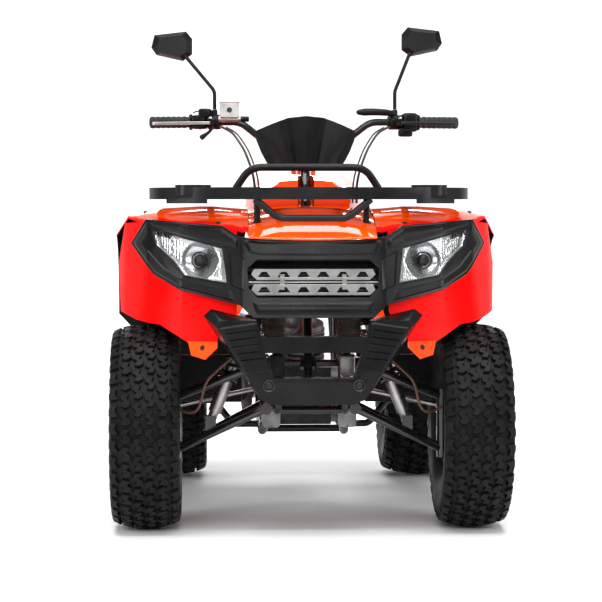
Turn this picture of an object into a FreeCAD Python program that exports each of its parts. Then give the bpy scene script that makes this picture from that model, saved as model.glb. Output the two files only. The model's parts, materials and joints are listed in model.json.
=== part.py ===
# Utility quad bike: straight rear axle on a swingarm, double A-arms in front, chain drive.
# Millimetres, +Z up, front towards -Y, origin on the ground midway between the axles.
import FreeCAD, Part, Sketcher
import math
import os
import re
from types import SimpleNamespace
from FreeCAD import Rotation, Vector

SIZES = {
    # whole vehicle
    "wheelbase": 1200, "half_length": 925, "fit": 0.3, "bearing_play": 0.06, "overrun": 5,
    "running_gap": 5, "seat_gap": 0.5,
    # front wheels
    "front_track": 930, "front_tyre_radius": 292, "front_tyre_width": 196, "lug_depth": 12,
    "rim_radius": 127, "rim_flange": 9, "rim_wall": 5, "front_rim_width": 140, "front_rim_face": 84,
    "tread_groove": 14, "bead_inset": 22, "sidewall_bulge": 5, "lug_rows": 18, "bead_play": 0.6,
    "rim_hole_radius": 14, "rim_hole_circle": 78, "rim_hole_count": 8, "rim_well": 14,
    "sketch_reach": 50, "sketch_across": 100, "sketch_along": 200,
    # rear wheels
    "rear_track": 850, "rear_tyre_radius": 279, "rear_tyre_width": 254, "rear_rim_width": 200,
    "rear_rim_face": 90, "axle_radius": 17.5, "hub_flange_radius": 58, "hub_flange_wall": 8,
    "hub_nose_radius": 24,
    # hubs and discs
    "kingpin_inset": 80, "spindle_radius": 12, "spindle_length": 52, "hub_radius": 30,
    "front_disc_radius": 86, "front_disc_offset": 26, "disc_wall": 4, "hub_nose": 6, "hub_inset": 19,
    "rear_disc_radius": 95, "rear_disc_x": 105, "sprocket_x": 100, "sprocket_radius": 84,
    "sprocket_wall": 7, "tooth_gap_radius": 4.6, "tooth_count": 36, "disc_hole_radius": 7,
    "disc_hole_count": 12, "window_radius": 11, "window_count": 6,
    # knuckles and steering
    "boss_radius": 17, "arm_eye_height": 46, "lower_joint_z": 222, "upper_joint_z": 374,
    "steer_arm_length": 80, "steer_arm_z": 322, "steer_arm_wall": 10, "steer_arm_radius": 13,
    "caliper_height": 58, "caliper_depth": 30, "caliper_gap": 2, "caliper_reach": 20,
    "rake_angle": 20, "stem_radius": 14, "stem_foot_y": -560, "stem_foot_z": 420, "stem_length": 700,
    "pitman_reach": 64, "pitman_spread": 30, "pitman_wall": 8, "pin_radius": 5, "pitman_end_radius": 9,
    "tie_rod_radius": 6.5, "rod_end_radius": 11, "rod_end_height": 16, "rod_lift": 1,
    "clamp_width": 56, "clamp_height": 44, "clamp_depth": 40,
    # handlebar
    "bar_radius": 11, "bar_seat": 4.5, "bar_rise": 90, "bar_half_width": 462,
    "bar_sweep": 52,
    "grip_radius": 18, "grip_length": 128, "grip_flange": 24, "grip_ribs": 7, "grip_bare": 15,
    "grip_rib_height": 1.8, "perch_width": 40, "perch_length": 46, "lever_length": 172,
    "lever_reach": 62, "lever_width": 9, "lever_wall": 8, "lever_drop": 5, "reservoir_width": 58,
    "reservoir_height": 44, "reservoir_depth": 46, "switch_width": 50,
    "switch_depth": 44, "throttle_length": 46,
    "mirror_width": 122, "mirror_height": 88, "mirror_depth": 26, "mirror_stem_radius": 5.5,
    "mirror_left_x": 352, "mirror_left_rise": 331, "mirror_right_x": 397, "mirror_right_rise": 316,
    "mirror_back": 27, "mirror_knee_rise": 182, "mirror_glass_wall": 3,
    "pod_half_width": 150, "pod_rise": 104, "pod_height": 141, "pod_reach": 108.6, "pod_sweep": 62,
    # frame
    "tube_radius": 14, "rail_x": 95, "rear_rail_x": 125, "bumper_stand": 125, "front_rail_z": 350,
    "belly_z": 235, "bend": 60, "upper_rail_z": 668, "upper_front": 752, "tail_z": 740,
    "tail_end": 840, "pivot_y": 262, "upright_y": 340, "pivot_z": 330, "belly_front": 200, "belly_back": 210,
    "upper_knee": 400, "tail_knee": 120, "brace_radius": 11, "peg_y": 0,
    "bearing_radius": 24, "bearing_height": 30, "low_bearing_run": 50, "high_bearing_run": 262,
    "arm_front": 695, "arm_rear": 505,
    "arm_tube_radius": 12, "arm_bush_length": 44, "arm_bush_radius": 16,
    "arm_cross_radius": 10, "upper_arm_z": 478, "upper_arm_spread": 78,
    "shock_radius": 14, "spring_radius": 30, "spring_wire": 5, "spring_turns": 6, "spring_steps": 18,
    "spring_sides": 6,
    "shock_foot_inset": 103, "head_post_y": 566, "shock_foot_z": 306, "shock_top_x": 168, "shock_top_z": 596,
    "shock_eye": 15, "shock_mount_wall": 8, "damper_radius": 19,
    # engine
    "engine_width": 230, "engine_length": 300, "engine_height": 176, "engine_y": 15,
    "engine_bottom": 246.3, "cover_radius": 86, "cover_wall": 26, "cylinder_radius": 46,
    "cylinder_height": 120, "cylinder_lean_angle": 14, "fin_radius": 72, "fin_wall": 4, "fin_count": 9,
    "head_height": 62, "drive_sprocket_radius": 30, "drive_sprocket_y": 178,
    "drive_sprocket_z": 332, "intake_radius": 22, "intake_length": 92,
    "header_radius": 16, "muffler_radius": 52, "muffler_length": 330, "muffler_x": -196,
    "muffler_y": 470, "header_z": 292, "header_reach": 42, "hanger_wall": 8, "muffler_z": 498,
    # rear suspension
    "swing_tube_radius": 16, "swing_x": 34, "carrier_radius": 36, "carrier_half": 48, "caliper_plate": 9,
    "rear_caliper_length": 60, "rear_shock_top_y": 300, "rear_shock_top_z": 590,
    "rear_shock_foot_y": 470, "rear_shock_foot_z": 352,
    "chain_height": 13, "chain_wall": 9, "plate_wall": 17, "plate_length": 21, "plate_count": 24,
    # front body
    "mask_half_width": 511, "mask_bottom": 617, "mask_height": 268, "mask_reach": 915,
    "mask_sweep": 345, "mask_lean": 62, "mask_wall": 34, "lens_inset": 3, "lens_wall": 6,
    "lamp_depth": 62, "lamp_gap": 1, "bulb_radius": 21, "bulb_wall": 5, "bulb_depth": 26, "bowl_radius": 46,
    "bowl_depth": 30, "lamp_x": 311, "lamp_z": 771,
    "grille_half_width": 170, "grille_plate_height": 30, "grille_wall": 4, "grille_gap": 12,
    "grille_z": 678, "grille_hole_width": 36, "grille_hole_height": 15, "grille_pitch": 54,
    "grille_holes": 6, "grille_set": 34, "grille_post_width": 12,
    "panel_wall": 5, "hood_half_width": 176, "hood_set": 47, "hood_back": 400,
    "hood_low": 832, "hood_rise": 92, "fender_half_width": 559, "fender_top": 924,
    "fender_lip": 464, "fender_back": 232, "seam": 1, "fender_crown": 60, "fender_fill": 3,
    "bumper_reach": 925, "bumper_depth": 62, "bumper_half_width": 302, "bumper_bottom": 378,
    "bumper_height": 266, "bumper_bolt_radius": 15, "bumper_bolt_depth": 10,
    "bumper_bolt_x": 123, "bumper_bolt_z": 433, "bumper_lug_width": 24,
    # racks
    "rack_half_width": 456, "rack_skirt": 12, "skirt_inner": 290, "skirt_outer": 405,
    "pad_radius": 50, "pad_rise": 7, "pad_wall": 12, "pad_y": 748,
    "rack_reach": 862, "rack_back": 470, "rack_top": 974,
    "rack_height": 33, "rack_bar": 26, "rack_slat": 22, "rack_slat_wall": 10, "rack_slats": 3,
    "loop_radius": 10, "loop_half_width": 160, "loop_drop": 52, "hoop_radius": 11,
    "hoop_half_width": 208, "hoop_rise": 60, "post_radius": 9, "post_x": 152,
    "knob_radius": 13, "knob_x": 330, "rear_rack_top": 918, "rear_rack_half_width": 405,
    "rear_rack_front": 490, "rear_rack_reach": 892, "rear_post_y": 800,
    # middle body
    "footwell_inner": 190, "footwell_outer": 520, "footwell_z": 322, "footwell_wall": 6,
    "footwell_slope": 30, "footwell_rib": 24,
    "footwell_front_top": 470,
    "footwell_back_top": 520, "peg_length": 250, "peg_width": 76, "peg_height": 22,
    "peg_inner": 214, "peg_rows": 3, "peg_teeth": 5,
    "tank_half_width": 186, "tank_front": 400, "tank_back": 40, "tank_top": 1027, "tank_base": 758,
    "seat_half_width": 138, "seat_front": 36, "seat_back": 484, "seat_top": 892, "seat_base": 754.4,
    "seat_round": 34,
    "rear_fender_front": 226, "rear_fender_back": 905, "rear_fender_top": 838,
    "rear_fender_inner": 168, "rear_fender_lip": 520, "tail_lamp_width": 96,
    "tail_lamp_height": 52, "tail_lamp_depth": 34, "tail_lamp_x": 300, "tail_lamp_z": 650,
    "hitch_width": 70, "hitch_wall": 10, "hitch_length": 110, "hitch_hole_radius": 9.5,
    "hitch_hole_inset": 32, "hitch_z": 398, "cable_radius": 4, "cable_reach": 100,
    "filler_radius": 38, "filler_height": 15, "filler_sink": 16, "rear_fender_half_width": 555,
}

# Parts of a length, each used with the size it belongs to
SHARES = {
    "longest_bend": 0.45, "rim_ledge": 0.3, "rim_well_start": 0.36, "rim_well_end": 0.56,
    "rim_far_ledge": 0.62, "rim_inner_well_end": 0.58, "rim_inner_well_start": 0.34,
    "rim_inner_ledge": 0.28, "mitre": 1.4, "damper": 0.46, "damper_foot": 1.8, "spring_low": 0.4,
    "spring_high": 2.8, "lug_level": 0.63, "skid_bevel": 0.6, "skid_rise": 0.3, "hole_top": 0.2,
    "short_slat": 0.78, "long_slat": 0.9, "loop_foot": 0.6, "hoop_top": 0.8, "side_cover_place": 0.2,
    "rear_cover_place": 0.25, "intake_level": 0.8, "seat_foot": 0.94, "filler_place": 0.52,
    "rib_start": 0.2, "rib_width": 0.6, "arm_start": 1.5, "lever_stand": 0.8, "arm_radius": 0.25,
    "mirror_boss": 1.6, "mirror_boss_rise": 0.33, "paddle_inward": 0.8, "paddle_drop": 1.15,
    "lever_knee": 0.3, "lever_knee_out": 0.6, "lever_end_back": 0.8, "mirror_front": 0.72,
    "mirror_rim": 0.35, "mirror_recess": 0.93, "mirror_face": 0.92, "mirror_stem": 0.5,
    "mirror_stem_drop": 0.4, "wall_end": 1.02, "pod_foot": 0.55, "tooth_start": 0.25,
    "tooth_width": 0.55, "paddle_stand": 0.5,
}
share = SimpleNamespace(**SHARES)

doc = FreeCAD.newDocument("QuadBike")
sheet = doc.addObject("Spreadsheet::Sheet", "sizes")
for line, (alias, value) in enumerate(SIZES.items(), start=1):
    sheet.set(f"A{line}", alias)
    sheet.set(f"B{line}", str(value))
    sheet.setAlias(f"B{line}", alias)
doc.recompute()
size = SimpleNamespace(**{alias: float(sheet.get(alias)) for alias in SIZES})
rail_front = size.bumper_reach - size.bumper_stand
body_front = size.mask_reach - size.hood_set

LEFT, RIGHT = 1, -1
SIDES = ((LEFT, "left"), (RIGHT, "right"))
AXIS_X = Vector(1, 0, 0)
AXIS_Y = Vector(0, 1, 0)
AXIS_Z = Vector(0, 0, 1)
QUARTER = 90
HALF = 180
nodes = []


def cell(text):
    """The expression with each size named as a cell of the sheet."""
    return re.sub(r"[a-z_]+", lambda word: "sizes." + word.group() if word.group() in SIZES
                  else word.group(), str(text))


def bind(item, **formulas):
    for path, text in formulas.items():
        item.setExpression(path.replace("__", "."), cell(text))
    return item


def placed(item, place, axis="z"):
    """Turns a primitive so that its length runs along the axis, then binds its corner or foot."""
    turns = {"x": Rotation(AXIS_Y, QUARTER), "y": Rotation(AXIS_X, -QUARTER), "z": Rotation()}
    item.Placement = FreeCAD.Placement(Vector(), turns[axis])
    return bind(item, Placement__Base__x=place[0], Placement__Base__y=place[1],
                Placement__Base__z=place[2])


def rod(name, radius, length, place, axis="z"):
    item = bind(doc.addObject("Part::Cylinder", name), Radius=radius, Height=length)
    return placed(item, place, axis)


def block(name, spans, place):
    item = bind(doc.addObject("Part::Box", name), Length=spans[0], Width=spans[1], Height=spans[2])
    return placed(item, place)


def node(item, label):
    item.Label = label
    nodes.append(item)
    return item


def fused(label, items):
    whole = doc.addObject("Part::MultiFuse", label)
    whole.Shapes = items
    return node(whole, label)


def solid_node(label, shape):
    item = doc.addObject("Part::Feature", label)
    item.Shape = shape
    return node(item, label)


def joined(shapes):
    """One shape from many that overlap."""
    whole = shapes[0].fuse(shapes[1:]) if len(shapes) > 1 else shapes[0]
    return whole.removeSplitter()


def polygon(points):
    return Part.makePolygon(list(points) + [points[0]])


def prism(points, run):
    """A flat outline carried along the vector run."""
    return Part.Face(polygon(points)).extrude(run)


def mirrored(shape):
    return shape.mirror(Vector(), AXIS_X)


def tube(points, radius, bend=None):
    """A round bar along straight runs, with an arc of radius bend at each corner."""
    bend = size.bend if bend is None else bend
    edges, start = [], points[0]
    for before, corner, after in zip(points, points[1:], points[2:]):
        one, two = (before - corner), (after - corner)
        half = one.getAngle(two) / 2
        back = min(bend / math.tan(half), min(one.Length, two.Length) * share.longest_bend)
        true_bend = back * math.tan(half)
        first = corner + one.normalize() * back
        last = corner + two.normalize() * back
        middle = (one + two).normalize()
        centre = corner + middle * (true_bend / math.sin(half))
        top = centre - middle * true_bend
        edges.append(Part.LineSegment(start, first).toShape())
        edges.append(Part.Arc(first, top, last).toShape())
        start = last
    edges.append(Part.LineSegment(start, points[-1]).toShape())
    path = Part.Wire(edges)
    section = Part.Wire(Part.makeCircle(radius, points[0], points[1] - points[0]))
    return path.makePipeShell([section], True, False)


def straight(start, end, radius):
    run = end - start
    return Part.makeCylinder(radius, run.Length, start, run)


def from_facets(points, facets):
    """A solid with flat faces from its corners and the triangles between them."""
    skin = Part.Shape()
    skin.makeShapeFromMesh((points, facets), size.bearing_play)
    whole = Part.makeSolid(skin)
    if whole.Volume < 0:
        whole.reverse()
    return whole.removeSplitter()


def curve(points):
    line = Part.BSplineCurve()
    line.interpolate(points)
    return line.toShape()


def shell_between(sections, wall, outward, ruled=False):
    """A curved panel: each section is a line of points, offset by the wall towards its inside."""
    wires = []
    for points in sections:
        inner = []
        for index, point in enumerate(points):
            ahead = points[min(index + 1, len(points) - 1)]
            behind = points[max(index - 1, 0)]
            along = (ahead - behind).normalize()
            normal = along.cross(outward).normalize()
            inner.append(point + normal * wall)
        edges = [curve(points), Part.LineSegment(points[-1], inner[-1]).toShape(),
                 curve(inner[::-1]), Part.LineSegment(inner[0], points[0]).toShape()]
        wires.append(Part.Wire(edges))
    return Part.makeLoft(wires, True, ruled)


# Wheels
def tyre(label, side, axle_y, axle_x, radius, width, rim_width):
    """A flat-sided tyre with three staggered rows of lugs; one flat lug row meets the ground."""
    steps = int(2 * size.lug_rows)
    turn = math.radians(2 * HALF / steps)
    corner_share = 1 / math.cos(turn / 2)
    tip = radius * corner_share
    groove = tip - size.lug_depth
    bead = (size.rim_radius + size.bead_play) * corner_share
    middle = (groove + bead) / 2
    half = width / 2
    lug = (width - 2 * size.tread_groove) / 3
    columns = [-half, -half + lug, -half + lug + size.tread_groove,
               half - lug - size.tread_groove, half - lug, half]
    bead_half = rim_width / 2 - size.rim_flange - size.bead_play
    centre = Vector(side * axle_x, axle_y, radius)
    points, facets, known = [], [], {}

    def point(step, across, reach):
        key = (step % steps, round(across, 3), round(reach, 3))
        if key not in known:
            angle = turn * (step + 0.5) - math.pi / 2
            known[key] = len(points)
            points.append(centre + Vector(across, reach * math.cos(angle), reach * math.sin(angle)))
        return known[key]

    def patch(*corners):
        first, second, third, fourth = [point(*corner) for corner in corners]
        facets.append((first, second, third))
        facets.append((first, third, fourth))

    def height(step, column):
        raised = column % 2 == 0 and (step + column // 2) % 2 == 0
        return tip if raised else groove

    side_line = [(half, groove), (half - size.sidewall_bulge, middle), (bead_half, bead)]
    for step in range(steps):
        for column in range(5):
            low, high = columns[column], columns[column + 1]
            here = height(step, column)
            patch((step, low, here), (step + 1, low, here), (step + 1, high, here),
                  (step, high, here))
            ahead = height((step + 1) % steps, column)
            if here != ahead:
                patch((step + 1, low, here), (step + 1, low, ahead), (step + 1, high, ahead),
                      (step + 1, high, here))
            beside = height(step, column + 1) if column < 4 else groove
            if here != beside:
                patch((step, high, here), (step + 1, high, here), (step + 1, high, beside),
                      (step, high, beside))
        if height(step, 0) != groove:
            patch((step, -half, groove), (step + 1, -half, groove), (step + 1, -half, tip),
                  (step, -half, tip))
        for (near, outer), (far, inner) in zip(side_line, side_line[1:]):
            patch((step, near, outer), (step + 1, near, outer), (step + 1, far, inner),
                  (step, far, inner))
            patch((step, -far, inner), (step + 1, -far, inner), (step + 1, -near, outer),
                  (step, -near, outer))
        patch((step, bead_half, bead), (step + 1, bead_half, bead), (step + 1, -bead_half, bead),
              (step, -bead_half, bead))
    return solid_node(label, from_facets(points, facets))


def origin_plane(body, role):
    return next(item for item in body.Origin.OriginFeatures if item.Role == role)


def outline_sketch(body, role, name, corners):
    """A closed outline of straight edges; each corner is held by two sizes from the origin."""
    sketch = body.newObject("Sketcher::SketchObject", name)
    sketch.AttachmentSupport = (origin_plane(body, role), [""])
    sketch.MapMode = "FlatFace"
    count = len(corners)
    guess = [Vector(size.sketch_across + size.sketch_reach * math.cos(math.tau * k / count),
                    size.sketch_along + size.sketch_reach * math.sin(math.tau * k / count), 0)
             for k in range(count)]
    for k in range(count):
        sketch.addGeometry(Part.LineSegment(guess[k], guess[(k + 1) % count]), False)
    for k in range(count):
        sketch.addConstraint(Sketcher.Constraint("Coincident", k, 2, (k + 1) % count, 1))
    for k, (across, up) in enumerate(corners):
        for kind, text, value in (("DistanceX", across, guess[k].x), ("DistanceY", up, guess[k].y)):
            if text == "0":
                held = Sketcher.Constraint("PointOnObject", k, 1, -2 if kind == "DistanceX" else -1)
                sketch.addConstraint(held)
            else:
                place = sketch.addConstraint(Sketcher.Constraint(kind, -1, 1, k, 1, value))
                sketch.setExpression(f"Constraints[{place}]", cell(text))
    return sketch


def hole_ring(body, name, circle, radius, count):
    """A ring of round holes through a body that was turned about its X axis."""
    sketch = body.newObject("Sketcher::SketchObject", name + "_hole")
    sketch.AttachmentSupport = (origin_plane(body, "YZ_Plane"), [""])
    sketch.MapMode = "FlatFace"
    sketch.addGeometry(Part.Circle(Vector(size.rim_radius, 0, 0), AXIS_Z, size.fit), False)
    sketch.addConstraint(Sketcher.Constraint("PointOnObject", 0, 3, -1))
    place = sketch.addConstraint(Sketcher.Constraint("DistanceX", -1, 1, 0, 3, size.rim_radius))
    sketch.setExpression(f"Constraints[{place}]", cell(circle))
    wide = sketch.addConstraint(Sketcher.Constraint("Radius", 0, size.fit))
    sketch.setExpression(f"Constraints[{wide}]", cell(radius))
    doc.recompute()
    pocket = body.newObject("PartDesign::Pocket", name + "_pocket")
    pocket.Profile = sketch
    pocket.Type = "ThroughAll"
    pocket.Midplane = True
    doc.recompute()
    ring = body.newObject("PartDesign::PolarPattern", name + "_ring")
    ring.Originals = [pocket]
    ring.Axis = (origin_plane(body, "X_Axis"), [""])
    ring.Angle = 2 * HALF
    bind(ring, Occurrences=count)
    body.Tip = ring
    doc.recompute()


def turned_body(label, outline, place, side=LEFT):
    """A body turned about its X axis, which then lies across the vehicle; outer side outwards."""
    body = doc.addObject("PartDesign::Body", label)
    sketch = outline_sketch(body, "XY_Plane", label + "_outline", outline)
    turned = body.newObject("PartDesign::Revolution", label + "_turned")
    turned.Profile = sketch
    turned.ReferenceAxis = (sketch, ["H_Axis"])
    turned.Angle = 2 * HALF
    doc.recompute()
    body.Placement.Rotation = Rotation(AXIS_Z, 0 if side == LEFT else HALF)
    bind(body, Placement__Base__x=place[0], Placement__Base__y=place[1],
         Placement__Base__z=place[2])
    return node(body, label)


def rim(label, side, end, axle_y):
    """A dished steel rim: barrel with flanges and a well, and a wheel face with a ring of holes."""
    width = end + "_rim_width"
    face = end + "_rim_face"
    place = (f"{side} * ({end}_track / 2 - {width} / 2)", axle_y, end + "_tyre_radius")
    body = turned_body(label, [
        ("0", "rim_radius - rim_wall"),
        ("0", "rim_radius + rim_flange"),
        ("rim_wall", "rim_radius + rim_flange"),
        ("rim_flange", "rim_radius"),
        (f"{width} * {share.rim_ledge}", "rim_radius"),
        (f"{width} * {share.rim_well_start}", "rim_radius - rim_well"),
        (f"{width} * {share.rim_well_end}", "rim_radius - rim_well"),
        (f"{width} * {share.rim_far_ledge}", "rim_radius"),
        (f"{width} - rim_flange", "rim_radius"),
        (f"{width} - rim_wall", "rim_radius + rim_flange"),
        (width, "rim_radius + rim_flange"),
        (width, "rim_radius - rim_wall"),
        (f"{width} * {share.rim_far_ledge} + rim_wall", "rim_radius - rim_wall"),
        (f"{width} * {share.rim_inner_well_end} + rim_wall", "rim_radius - rim_well - rim_wall"),
        (f"{face} + rim_wall", "rim_radius - rim_well - rim_wall"),
        (f"{face} + rim_wall", "hub_nose_radius + fit"),
        (face, "hub_nose_radius + fit"),
        (face, "rim_radius - rim_well - rim_wall"),
        (f"{width} * {share.rim_inner_well_start}", "rim_radius - rim_well - rim_wall"),
        (f"{width} * {share.rim_inner_ledge}", "rim_radius - rim_wall"),
    ], place, side)
    hole_ring(body, label, "rim_hole_circle", "rim_hole_radius", "rim_hole_count")


def rims():
    for side, word in SIDES:
        rim(f"rim_front_{word}", side, "front", "-wheelbase / 2")
        rim(f"rim_rear_{word}", side, "rear", "wheelbase / 2")


def tyres():
    for side, word in SIDES:
        tyre(f"tyre_front_{word}", side, -size.wheelbase / 2, size.front_track / 2,
             size.front_tyre_radius, size.front_tyre_width, size.front_rim_width)
        tyre(f"tyre_rear_{word}", side, size.wheelbase / 2, size.rear_track / 2,
             size.rear_tyre_radius, size.rear_tyre_width, size.rear_rim_width)


def hub(label, side):
    """The front hub on its spindle, with the brake disc, the wheel flange and a closed nose."""
    flange = "(kingpin_inset - front_rim_width / 2 + front_rim_face - hub_inset)"
    disc = "(front_disc_offset - hub_inset)"
    bore = "(spindle_length - hub_inset + hub_nose)"
    nose = f"({flange} + rim_wall + hub_nose)"
    place = (f"{side} * (front_track / 2 - kingpin_inset + hub_inset)", "-wheelbase / 2",
             "front_tyre_radius")
    body = turned_body(label, [
        ("0", "spindle_radius + bearing_play"), ("0", "hub_radius"), (disc, "hub_radius"),
        (disc, "front_disc_radius"), (disc + " + disc_wall", "front_disc_radius"),
        (disc + " + disc_wall", "hub_radius"), (flange + " - hub_flange_wall", "hub_radius"),
        (flange + " - hub_flange_wall", "hub_flange_radius"), (flange, "hub_flange_radius"),
        (flange, "hub_nose_radius"), (nose, "hub_nose_radius"), (nose, "0"), (bore, "0"),
        (bore, "spindle_radius + bearing_play"),
    ], place, side)
    hole_ring(body, label, "(front_disc_radius + hub_flange_radius) / 2", "disc_hole_radius",
              "disc_hole_count")


def rear_axle():
    """Straight shaft with a wheel hub at each end, the slotted sprocket and the brake disc."""
    centre_y, centre_z = size.wheelbase / 2, size.rear_tyre_radius
    face = size.rear_track / 2 - size.rear_rim_width / 2 + size.rear_rim_face
    nose = face + size.rim_wall + size.hub_nose
    foot = Vector(-nose, centre_y, centre_z)
    pieces = [Part.makeCylinder(size.axle_radius, 2 * nose, foot, AXIS_X)]
    for side, word in SIDES:
        reach = Vector(side * face, centre_y, centre_z)
        pieces.append(Part.makeCylinder(size.hub_flange_radius, size.hub_flange_wall, reach,
                                        AXIS_X * -side))
        pieces.append(Part.makeCylinder(size.hub_nose_radius, size.hub_flange_radius,
                                        reach + AXIS_X * side * (size.rim_wall + size.hub_nose),
                                        AXIS_X * -side))
    for across in (size.sprocket_x, -size.rear_disc_x):
        start = Vector(across - size.hub_radius / 2, centre_y, centre_z)
        pieces.append(Part.makeCylinder(size.hub_radius, size.hub_radius, start, AXIS_X))
    solid_node("axle_shaft", joined(pieces))
    collar = "hub_radius + fit"
    teeth = turned_body("rear_sprocket", [
        ("0", collar), ("0", "sprocket_radius"), ("sprocket_wall", "sprocket_radius"),
        ("sprocket_wall", collar)],
        ("sprocket_x - sprocket_wall / 2", "wheelbase / 2", "rear_tyre_radius"))
    hole_ring(teeth, "rear_sprocket_gap", "sprocket_radius", "tooth_gap_radius", "tooth_count")
    hole_ring(teeth, "rear_sprocket_window", "(sprocket_radius + hub_radius) / 2",
              "window_radius", "window_count")
    body = turned_body("rear_brake_disc", [
        ("0", collar), ("0", "rear_disc_radius"), ("disc_wall", "rear_disc_radius"),
        ("disc_wall", collar)],
        ("-rear_disc_x - disc_wall / 2", "wheelbase / 2", "rear_tyre_radius"))
    hole_ring(body, "rear_brake_disc", "(rear_disc_radius + hub_flange_radius) / 2",
              "disc_hole_radius", "disc_hole_count")


def kingpin(side, height):
    return Vector(side * (size.front_track / 2 - size.kingpin_inset), -size.wheelbase / 2, height)


def knuckle(label, side):
    """Upright between the two arm eyes, with spindle, steering arm and brake caliper."""
    low = size.lower_joint_z + size.arm_eye_height / 2 + size.seat_gap
    high = size.upper_joint_z - size.arm_eye_height / 2 - size.seat_gap
    axle = kingpin(side, size.front_tyre_radius)
    pieces = [Part.makeCylinder(size.boss_radius, high - low, kingpin(side, low)),
              Part.makeCylinder(size.spindle_radius, size.spindle_length, axle, AXIS_X * side)]
    arm_end = kingpin(side, size.steer_arm_z) + AXIS_Y * size.steer_arm_length
    pieces.append(Part.makeCylinder(size.steer_arm_radius, size.steer_arm_wall, arm_end))
    pieces.append(Part.makeBox(2 * size.steer_arm_radius, size.steer_arm_length,
                               size.steer_arm_wall,
                               kingpin(side, size.steer_arm_z) - AXIS_X * size.steer_arm_radius))
    middle = size.front_disc_offset + size.disc_wall / 2
    inner = middle - size.caliper_depth / 2
    outer = size.front_disc_radius + size.caliper_reach
    near = size.front_disc_radius - size.caliper_reach - size.boss_radius
    low_corner = axle + Vector(min(side * inner, side * (inner + size.caliper_depth)), near,
                               -size.caliper_height / 2)
    caliper = Part.makeBox(size.caliper_depth, outer - near, size.caliper_height, low_corner)
    slot_wide = size.disc_wall + 2 * size.caliper_gap
    slot = Part.makeCylinder(size.front_disc_radius + size.caliper_gap, slot_wide,
                             axle + AXIS_X * side * (middle - slot_wide / 2), AXIS_X * side)
    bridge_wide = size.hub_inset - size.running_gap
    bridge = Part.makeBox(bridge_wide, outer, size.caliper_height,
                          axle + Vector(min(0, side * bridge_wide), 0, -size.caliper_height / 2))
    pieces += [caliper.cut(slot), bridge]
    solid_node(label, joined(pieces))


def column_point(run):
    """A point on the steering axis, the distance run up from its foot."""
    lean = math.radians(size.rake_angle)
    return Vector(0, size.stem_foot_y + run * math.sin(lean), size.stem_foot_z + run * math.cos(lean))


def column_axes():
    lean = math.radians(size.rake_angle)
    return Vector(0, math.sin(lean), math.cos(lean)), Vector(0, math.cos(lean), -math.sin(lean))


def pitman_pin(side):
    up, back = column_axes()
    return column_point(0) + back * size.pitman_reach + AXIS_X * side * size.pitman_spread


def steering_stem():
    """Column with the pitman plate at its foot and the bar clamp at its head."""
    up, back = column_axes()
    pieces = [Part.makeCylinder(size.stem_radius, size.stem_length, column_point(0), up)]
    spread, radius = size.pitman_spread, size.pitman_end_radius
    for side, word in SIDES:
        pieces.append(Part.makeCylinder(radius, size.pitman_wall, pitman_pin(side), up))
        pieces.append(Part.makeCylinder(size.pin_radius, size.pitman_wall + size.rod_end_height,
                                        pitman_pin(side), up))
    corners = [column_point(0) - AXIS_X * (spread + radius) + back * size.pitman_reach,
               column_point(0) + AXIS_X * (spread + radius) + back * size.pitman_reach,
               column_point(0) + AXIS_X * size.stem_radius, column_point(0) - AXIS_X * size.stem_radius]
    pieces.append(prism(corners, up * size.pitman_wall))
    middle = bar_middle() - AXIS_X * size.clamp_width / 2
    clamp = Part.makeBox(size.clamp_width, size.clamp_depth, size.clamp_height,
                         middle - Vector(0, size.clamp_depth / 2, size.clamp_height / 2))
    bar = Part.makeCylinder(size.bar_radius + size.fit, size.clamp_width, middle, AXIS_X)
    pieces.append(clamp)
    solid_node("steering_stem", joined(pieces).cut(bar))


def bar_middle():
    """The bar's middle lies on the steering axis, just past the end of the stem."""
    return column_point(size.stem_length + size.bar_seat)


def tie_rod(label, side):
    """Rod from the pitman pin to above the knuckle's steering arm, where its end stays free."""
    up, back = column_axes()
    near = pitman_pin(side) + up * (size.pitman_wall + size.fit + size.rod_end_height / 2)
    rise = size.steer_arm_z + size.steer_arm_wall + size.rod_lift
    far = kingpin(side, rise) + AXIS_Y * size.steer_arm_length
    top = far + AXIS_Z * size.rod_end_height / 2
    eye = Part.makeCylinder(size.rod_end_radius, size.rod_end_height, near - up * size.rod_end_height / 2, up)
    start = near + up * (size.rod_end_height / 2 - size.tie_rod_radius)
    pieces = [eye, straight(start, top, size.tie_rod_radius),
              Part.makeCylinder(size.rod_end_radius, size.rod_end_height, far)]
    pin = Part.makeCylinder(size.pin_radius + size.bearing_play, 2 * size.rod_end_height,
                            near - up * size.rod_end_height, up)
    solid_node(label, joined(pieces).cut(pin))


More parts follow.
